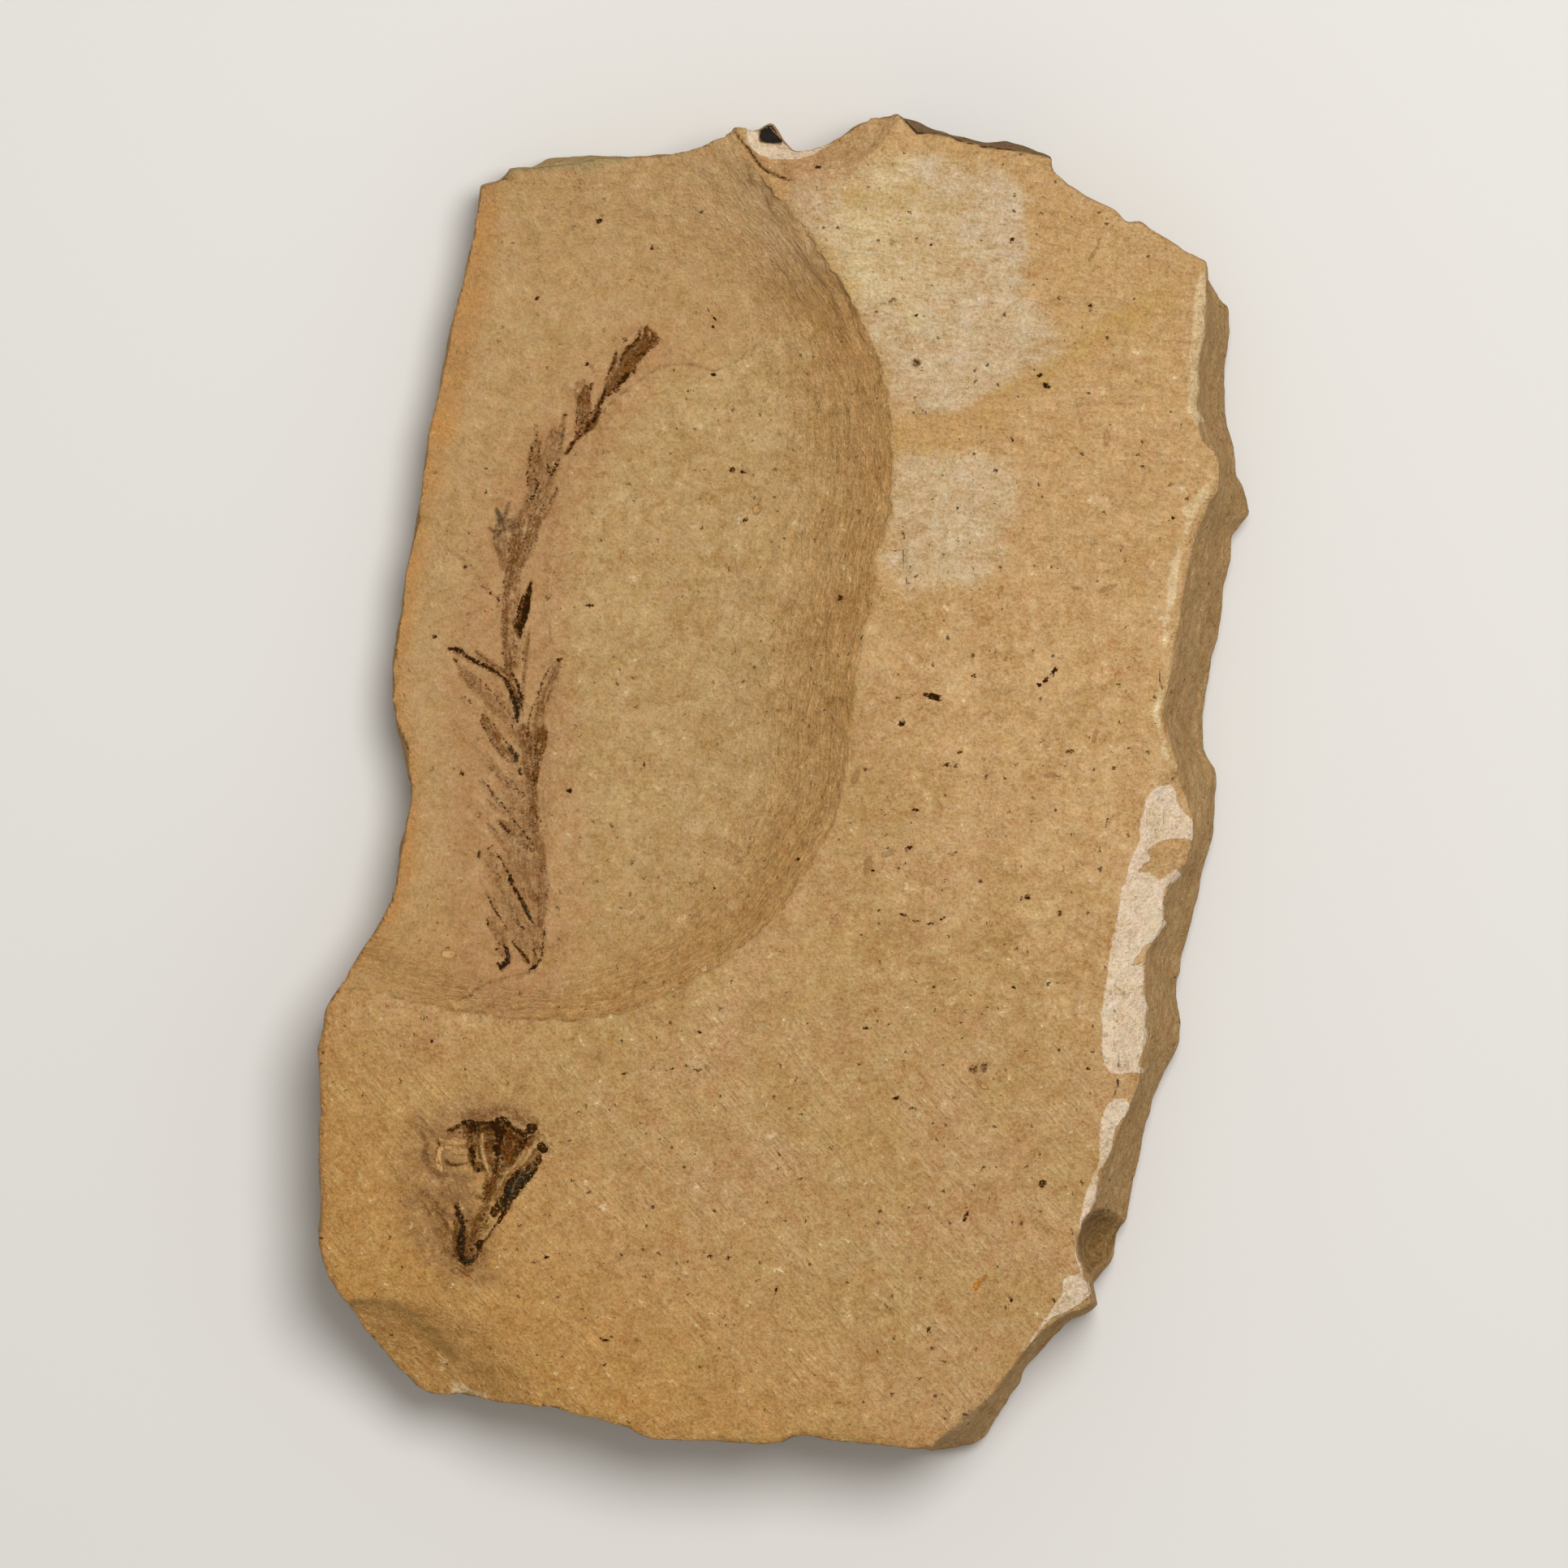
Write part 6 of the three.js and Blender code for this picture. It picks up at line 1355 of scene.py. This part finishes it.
def siltstone():
    """Tan silt with crumbs, specks and layers: its tone varies with the grain, and is paler on the bumps and
    browner where they dip, which is painted light and shade.
    """
    paint = STONE_COLOURS
    material, shade = new_material("split_siltstone")
    place = millimetres(shade)
    across = place.node("SeparateXYZ", {}, {"Vector": place}, out="X")
    along = place.node("SeparateXYZ", {}, {"Vector": place}, out="Y")
    wander = mottle(place, 1.3, detail=3, roughness=0.65) - 0.5
    drift = mottle(place, 6.0, detail=4, roughness=0.6) - 0.5
    grain = mottle(place, 0.42, detail=3, roughness=0.85) - 0.5
    clumps = mottle(place, 1.5, detail=4, distortion=0.5, roughness=0.75) - 0.5
    cloud = mottle(place, 17.0, detail=3, roughness=0.6)
    sink = shade.node("CombineXYZ", {}, {"Z": wander * 2.6 + grain * 0.8})
    bent = place.node("VectorMath", {"operation": "ADD"}, {0: place, 1: sink})
    layers = mottle(stretched(bent, (0.22, 0.22, 1.7)), 1.0, detail=3, roughness=0.65) - 0.5

    def zone(name, soft, ragged, at=0.0):
        edge = field(shade, name) + wander * (2.6 * ragged) + drift * (5.0 * ragged)
        return edge.ramp(at - soft, at + soft)

    steep = field(shade, "steep")
    scar = zone("scar", 0.10, 0.02)
    inner = scar * zone("layer", 0.5, 0.35)
    slope = steep.ramp(0.01, 0.20)
    wall = steep.ramp(0.34, 0.56)
    chalk = zone("chalk", 0.12, 0.14)
    cream = zone("cream", 0.25, 0.20) * (1.0 + clumps * 1.4)

    # the patterns of the silt: ridges at the upper right, hairs at the bottom, ripples along the scar's rim
    upper_right = along.ramp(16.0, 34.0) * (1 - scar)
    low = along.ramp(-12.0, -40.0) * (drift + wander * 0.5).ramp(-0.10, 0.12)
    rim_place = {"X": field(shade, "scar") * 3.0, "Y": along * 0.50, "Z": across * 0.50}
    by_rim = shade.node("CombineXYZ", {}, rim_place)
    combed = stretched(place, (0.30, 1.25, 1.0), turn=7)
    ridges = mottle(combed, 1.0, detail=4, distortion=0.5, roughness=0.7) - 0.5
    slanting = stretched(place, (0.30, 2.1, 1.0), turn=48)
    hairs = mottle(slanting, 1.0, detail=3, distortion=0.7, roughness=0.6) - 0.5
    ripples = mottle(by_rim, 1.0, detail=4, distortion=0.4, roughness=0.7) - 0.5
    calm = scar * (1 - inner * 0.6)
    ripple = scar * slope * (1 - inner * 0.3) * (1 - wall)
    pattern = ridges * upper_right * 0.7 + hairs * low * 1.05 + ripples * ripple * 1.7
    relief = grain * 1.75 + clumps * (1.15 - upper_right * 0.35)
    relief = relief + drift * (0.80 - upper_right * 0.45) + pattern
    relief = relief * (1 - calm * 0.28) * (1 - chalk * 0.45) + layers * (slope * 0.35 + 0.06)

    colour = blend(paint["silt"], paint["warm silt"], (cloud + clumps * 0.5).ramp(0.36, 0.64))
    # painted light: lighter towards the upper right, where the light falls stronger
    painted_light = (across + along * 0.55 + drift * 36).ramp(0.0, 42.0)
    colour = colour.painted(paint["painted_light"], painted_light * 0.9)
    corner = (across * -0.8 - along + drift * 30).ramp(52.0, 96.0)
    colour = colour.painted(paint["corner"], corner * 0.85)
    bleached = zone("blanched", 1.1, 0.6) * (0.86 + ridges * 1.1 + clumps * 0.5 + drift * 1.0)
    straw = (along + drift * 50).ramp(50.0, 62.0) * across.ramp(3.0, 9.0)
    straw = straw * (across + drift * 30).ramp(24.0, 14.0)
    colour = colour.painted(blend(paint["bleached"], paint["straw"], straw), bleached)
    middling = zone("middling", 1.2, 0.9) * (0.76 + clumps * 0.5 + drift * 0.9)
    colour = colour.painted(paint["middling"], middling)
    ochre = zone("ochre", 1.1, 1.0, at=-0.2) * (0.42 + drift * 2.2 + clumps * 2.0)
    colour = colour.painted(paint["ochre"], ochre)
    colour = colour.painted(paint["scar"], scar)
    colour = colour.painted(paint["inner layer"], inner * 0.9)
    colour = colour.painted(paint["scar slope"], scar * slope * along.ramp(76.0, 55.0) * (0.80 + clumps))
    # painted light: the scar's slope lighter near its head, against the shade the softbox leaves there
    colour = colour.painted(paint["scar head light"], scar * slope * along.ramp(58.0, 68.0) * 0.9)
    low_scar = scar * along.ramp(-2.0, -24.0) * (0.30 - slope * 0.22 + drift)
    colour = colour.painted(paint["scar foot"], low_scar)
    colour = colour.painted(paint["stain"], zone("stain", 2.2, 0.4, at=-1.0) * (0.55 + wander))
    colour = colour.painted(paint["halo"], zone("halo", 2.0, 0.7, at=-0.8) * (0.45 + wander * 1.6))
    colour = colour.painted(paint["rust"], zone("rust", 1.3, 0.45) * (0.60 + drift * 1.5 + clumps))
    # the steep walls, darker and browner: partly their own colour, partly painted shade
    colour = colour.painted(paint["wall"], wall)
    # the broken top edge, tan at the left and brown at the right: partly worn stone, partly painted shade on
    # its walls
    browner = (across * 0.05 + clumps * 4 + 0.6).ramp(-0.5, 0.5)
    edge_wear_and_shade = blend(paint["edge_wear_and_shade"], paint["edge brown, worn and shaded"], browner)
    colour = colour.painted(edge_wear_and_shade, zone("umber", 0.25, 0.15))
    colour = colour.painted(paint["lump"], zone("lump", 0.2, 0.1))
    colour = colour.painted(paint["cream"], cream)

    # crumbs and specks
    loose = place.node("VectorMath", {"operation": "ADD"}, {0: place, 1: nudge(place)})
    crowd = (drift + cloud + clumps * 0.5).ramp(0.40, 0.58)
    flecks = (clumps * 1.3 + grain * 0.6).ramp(0.20, 0.32).atop(specks(loose, 2.9, 0.45, 0.30))
    colour = colour.painted(paint["fleck"], flecks * crowd * (1 - wall) * (1 - calm * 0.7) * 0.80)
    pocks = mottle(place, 0.85, detail=3, roughness=0.7)
    fresher = (pocks + grain * 0.5 + drift * 0.6).ramp(0.26, 0.48)
    pale = blend(paint["chalk"], paint["fresh chalk"], fresher)
    colour = colour.painted(pale, chalk)
    colour = colour.painted(paint["dull chalk"], (clumps * 1.2 + drift * 0.8).ramp(0.10, 0.30) * chalk * 0.14)
    hue = coloured_noise(place, 0.55, 4.0, 0.7)
    colour = colour.tinted(hue, (0.24, 0.12, 0.40), (0.88, 0.94, 0.80))
    # the grain's own tone, with painted light on the bumps and painted shade where they dip
    colour = colour.tinted(relief, (0.66, 0.94, 1.40))
    dots = specks(loose, 1.75, 0.26, 0.45).atop(specks(loose, 0.95, 0.16, 0.34) * (1 - crowd))
    colour = colour.painted(paint["dot"], dots * (1 - calm * 0.5) * (1 - chalk * 0.6) * 0.85)
    # painted shade in the creases along cracks, rims and the pit's top
    colour = colour.painted(paint["shaded_crease"], zone("shaded_crease", 0.06, 0.05) * 0.9)
    shadow = zone("shade", 0.5, 0.25)
    colour = colour.painted(paint["shade"], shadow * (0.44 + clumps * 1.3 + layers * 0.6))
    # painted shade inside the pit: dark brown, mottled lighter by noise
    lit = (clumps + grain * 0.7 + layers * 0.5).ramp(-0.14, 0.16)
    pit_shade = blend(paint["pit"], paint["lit pit"], lit)
    colour = colour.painted(pit_shade, zone("pit", 0.30, 0.12) * (0.92 + clumps))

    bumps = grain * 0.30 + clumps * 0.52 + pattern * 0.46
    bumps = bumps + layers * (slope * 0.34 + 0.03) + pocks * chalk * 0.30
    normal = bump(bumps - dots * 0.08)
    rough = 0.92 + grain * 0.25
    inputs = {"Base Color": colour, "Roughness": rough, "Normal": normal, "Specular IOR Level": 0.18}
    finish_material(shade, inputs)
    return material


def nudge(place):
    """A small push in any direction, which makes round patterns ragged."""
    push = coloured_noise(place, 3.0, 2.0)
    return push.node("VectorMath", {"operation": "SUBTRACT"}, {0: push, 1: (0.5, 0.5, 0.5)})


# ---- The fossils, in millimetres ----

SHOOT_CORNERS = ((-44.0, -24.4), (-14.2, 58.0))
SHOOT_CELL = 0.13
CONE_CORNERS = ((-46.8, -60.5), (-27.8, -39.5))
CONE_CELL = 0.10
DROP_HEIGHT = 25  # where a film starts, clear of the stone
FILM_PROUD = 0.05  # how far a film stands out of the stone
FILM_THICKNESS = 0.12
FILM_SMOOTHING = 6  # rounds
CRUMB_CELLS = 9  # along each side of a crumb's grid, and across a crack's
STRIP_CELLS = 24  # along one step of a crack
STRIP_OVERLAP = 0.02
CRUMB_BORDER = 0.20  # added round a crumb, where its edge fades
CRACK_BORDER = 0.15
BARE_FILM = 0.015  # a fossil's film is cut away where the strokes cover less than this, from 0 to 1
BARE_CRUMB = 0.02
FIBRE_REACH = 1.0  # how far from a leaf its fibres still guide the wear
WOBBLE = ((0.12, 0.8), (0.16, 2.6), (0.10, 0.35))  # how far a stroke's edge wanders, and its waves' size
WOBBLE_SEEDS = ((21, 22, 25), (23, 24, 26))  # for across and along

# How soft the edge of each kind of stroke is, in millimetres. Haze is the brown stain that spreads round ink.
KINDS = {
    "film": 0.28, "ink": 0.11, "haze": 0.45, "rust": 0.35, "olive": 0.35,
    "blue": 0.26, "green": 0.18, "pale": 0.2, "gold": 0.12,
}

# The fossils' colours.
CARBON_COLOURS = {
    "dark film": tone(86, 46, 6),
    "light film": tone(128, 80, 28),
    "olive": tone(92, 72, 26),
    "rust": tone(112, 62, 20),
    "pepper": tone(64, 34, 4),
    "thin ink": tone(80, 44, 5),
    "ink": tone(40, 21, 0),
    "blue": tone(66, 68, 56),
    "green": tone(26, 32, 20),
    "pale": tone(207, 163, 106),
    "gold": tone(206, 134, 40),
}


def carbon_film():
    """Brown to black carbon, worn to fibres and crumbs, with rusty, green and blue-grey tints."""
    paint = CARBON_COLOURS
    material, shade = new_material("carbon")
    place = millimetres(shade)

    def wear(vector, size, detail=2.0):
        """Noise from about -1 to 1."""
        return (mottle(vector, size, detail=detail, roughness=0.75) - 0.5) * 5

    leaf_place = {"X": field(shade, "lane") * 3.2, "Y": field(shade, "run") * 0.45}
    leafwise = shade.node("CombineXYZ", {}, leaf_place)
    fibres = wear(leafwise, 1.0, 3)
    grain = wear(place, 0.26)
    crumbs = wear(place, 0.60, 3)
    beads = wear(place, 0.36)
    patches = wear(place, 2.2, 3)
    worn = grain * 0.40 + crumbs * 0.45 + fibres * 0.50 + patches * 0.25

    def cover(name):
        return (field(shade, name) * (0.85 + worn * 1.1)).ramp(0.0, 1.0)

    drawn = field(shade, "ink")
    ink = (drawn * 1.5 + beads * 0.80 + grain * 0.40).ramp(0.40, 1.30) * drawn.ramp(0.0, 0.15)
    laid = field(shade, "film")
    film = (laid * (0.80 + worn * 0.9)).ramp(0.0, 1.0)
    spread = field(shade, "haze")
    haze = (spread * (0.62 + worn * 1.5)).ramp(0.0, 1.0)
    rust = cover("rust")
    olive = cover("olive")
    blue = (field(shade, "blue") * (0.80 + worn * 0.7)).ramp(0.0, 1.0)
    green = cover("green")
    pale = (field(shade, "pale") * (0.85 + worn * 0.6)).ramp(0.0, 1.0)
    gold = cover("gold")
    thick = laid.atop(rust).atop(olive).atop(spread * 0.4)
    pepper = (grain * 0.6 + beads * 0.7 + fibres * 0.6 + thick * 0.5).ramp(0.55, 1.25) * thick.ramp(0.1, 0.9)
    browns = (crumbs + fibres * 0.6 + patches * 0.6).ramp(-0.9, 0.9)
    colour = blend(paint["dark film"], paint["light film"], browns)
    colour = colour.painted(paint["olive"], olive)
    colour = colour.painted(paint["rust"], rust)
    colour = colour.painted(paint["pepper"], pepper)
    coal = blend(paint["thin ink"], paint["ink"], (drawn + crumbs * 0.5).ramp(0.35, 1.0))
    colour = colour.painted(coal, ink)
    colour = colour.painted(paint["blue"], blue * (1 - ink * 0.6))
    colour = colour.painted(paint["green"], green * 0.8)
    hue = coloured_noise(place, 1.4, 3.0, 0.75)
    colour = colour.tinted(hue, (1.3, 0.8, 1.3), (0.35, 0.60, 0.35))
    colour = colour.painted(paint["pale"], pale)
    colour = colour.painted(paint["gold"], gold)
    opacity = (film * 0.94).atop(haze * 0.62).atop(pepper * 0.70).atop(ink)
    opacity = opacity.atop(rust * 0.78).atop(olive * 0.70)
    opacity = opacity.atop(blue * 0.75).atop(green * 0.88).atop(pale * 0.92).atop(gold)
    normal = bump(worn * 0.06 + ink * 0.03)
    inputs = {"Base Color": colour, "Alpha": opacity, "Roughness": 0.9 - ink * 0.1, "Normal": normal}
    finish_material(shade, {**inputs, "Specular IOR Level": 0.06})
    return material


def mark_film(piece, strokes):
    """Paints strokes on a fossil: how strongly each kind covers a vertex, and how the leaves' fibres run."""
    places = vertex_places(piece)
    plan = places[:, :2].copy()
    for side, seeds in enumerate(WOBBLE_SEEDS):
        for (reach, size), seed in zip(WOBBLE, seeds):
            plan[:, side] += reach * lumps(places, size, seed)
    total = np.zeros(len(plan))
    nearest = np.full(len(plan), FIBRE_REACH)
    lane = np.zeros(len(plan))
    run = np.zeros(len(plan))
    for kind, soft in KINDS.items():
        cover = np.zeros(len(plan))
        for order, (drawn, strength, stroke) in enumerate(strokes):
            if drawn == kind or (kind == "haze" and drawn == "ink"):
                reach = max(point[2] for point in stroke) + soft
                low = np.min([point[:2] for point in stroke], axis=0) - reach
                high = np.max([point[:2] for point in stroke], axis=0) + reach
                near = np.flatnonzero(np.all((plan > low) & (plan < high), axis=1))
                gap, side, way = stroke_lanes(plan[near], stroke)
                cover[near] = np.maximum(cover[near], strength * eased(gap, soft, -soft))
                if kind == "film":
                    closer = gap < nearest[near]
                    chosen = near[closer]
                    nearest[chosen] = gap[closer]
                    lane[chosen] = side[closer] + order * 5
                    run[chosen] = way[closer]
        put_field(piece, kind, cover)
        total = np.maximum(total, cover)
    put_field(piece, "lane", lane)
    put_field(piece, "run", run)
    return total


def lay_film(piece, stone, bare):
    """Lays a fossil on the stone: drops it on, cuts away what is bare, and gives the rest its thickness."""
    downwards = {"use_project_z": True, "use_negative_direction": True, "use_positive_direction": False}
    above = {"wrap_method": "PROJECT", "wrap_mode": "ABOVE_SURFACE", "offset": FILM_PROUD * MM}
    apply_modifier(piece, "SHRINKWRAP", target=stone, **downwards, **above)
    cut_away(piece, bare)
    trim_corners(piece)
    apply_modifier(piece, "SMOOTH", factor=0.5, iterations=FILM_SMOOTHING, use_x=False, use_y=False)
    apply_modifier(piece, "SOLIDIFY", thickness=FILM_THICKNESS * MM, offset=-1)


def add_grid(columns, rows, size, x, y):
    """A flat grid above the stone, ready to be dropped on it."""
    place = (x * MM, y * MM, DROP_HEIGHT * MM)
    bpy.ops.mesh.primitive_grid_add(x_subdivisions=columns, y_subdivisions=rows, size=size, location=place)
    return bpy.context.object


def make_film(name, strokes, corners, cell, stone, material):
    """A fossil drawn with strokes, on a fine grid between two corners."""
    low, high = np.array(corners)
    middle = (low + high) / 2
    size = high - low
    counts = np.ceil(size / cell).astype(int)
    piece = add_grid(int(counts[0]), int(counts[1]), 1.0, *middle)
    piece.name = name
    bpy.ops.transform.resize(value=(size[0] * MM, size[1] * MM, 1))
    bpy.ops.object.transform_apply(location=True, rotation=True, scale=True)
    cover = mark_film(piece, strokes)
    lay_film(piece, stone, cover < BARE_FILM)
    return finish_piece(piece, material)


def strip(start, end, edge):
    """A narrow grid along one step of a line, with a border."""
    x, y = (np.array(start[:2]) + end[:2]) / 2
    length = math.dist(start[:2], end[:2]) / 2
    piece = add_grid(STRIP_CELLS, CRUMB_CELLS, 2.0, x, y)
    width = max(start[2], end[2]) + edge
    turn = math.atan2(end[1] - start[1], end[0] - start[0])
    bpy.ops.transform.resize(value=((length + STRIP_OVERLAP) * MM, width * MM, 1))
    bpy.ops.transform.rotate(value=turn, orient_axis="Z", center_override=(x * MM, y * MM, DROP_HEIGHT * MM))
    select_only(piece)
    bpy.ops.object.transform_apply(location=True, rotation=True, scale=True)
    return piece


def make_crumbs(stone, material):
    """Crumbs of other plants scattered over the stone, and the fine cracks and lines of painted shade, as one
    piece.
    """
    patches = []
    steps = np.linspace(-1, 1, CRUMB_CELLS + 1)
    for x, y, length, width, angle, kind, strength in CRUMBS:
        edge = KINDS[kind] + CRUMB_BORDER
        patch = add_grid(CRUMB_CELLS, CRUMB_CELLS, 2.0, x, y)
        patch.scale = ((length + edge) * MM, (width + edge) * MM, 1)
        patch.rotation_euler = (0, 0, math.radians(angle))
        sides = np.meshgrid(steps * (width + edge), steps * (length + edge), indexing="ij")
        v, u = (side.ravel() for side in sides)
        gap = (np.hypot(u / length, v / width) - 1.2) * width
        gap += 0.20 * lumps(np.column_stack([u + x, v + y, 0 * u]), 0.34, 19)
        put_field(patch, kind, strength * eased(gap, KINDS[kind], -KINDS[kind]))
        patches.append(patch)
    # the cracks, and painted shade along the steps of the layers
    for kind, strength, line in CRACKS_AND_SHADED_STEPS:
        for start, end in zip(line, line[1:]):
            patches.append(strip(start, end, KINDS[kind] + CRACK_BORDER))
            gap = stroke_distance(vertex_places(patches[-1])[:, :2], (start, end))
            put_field(patches[-1], kind, strength * eased(gap, KINDS[kind], -KINDS[kind]))
    bpy.ops.object.select_all(action="DESELECT")
    for patch in patches:
        patch.select_set(True)
    bpy.context.view_layer.objects.active = patches[0]
    bpy.ops.object.join()
    piece = bpy.context.object
    piece.name = "plant_crumbs_and_shaded_cracks"
    bpy.ops.object.transform_apply(location=True, rotation=True, scale=True)
    total = np.zeros(len(piece.data.vertices))
    for kind in KINDS:
        if kind in piece.data.attributes:
            total = np.maximum(total, read_field(piece, kind))
        else:
            put_field(piece, kind, total * 0)
    lay_film(piece, stone, total < BARE_CRUMB)
    return finish_piece(piece, material)


make_studio()
stone = make_stone()
film = carbon_film()
make_film("redwood_shoot", SHOOT, SHOOT_CORNERS, SHOOT_CELL, stone, film)
make_film("cone_scale", CONE_SCALE, CONE_CORNERS, CONE_CELL, stone, film)
make_crumbs(stone, film)
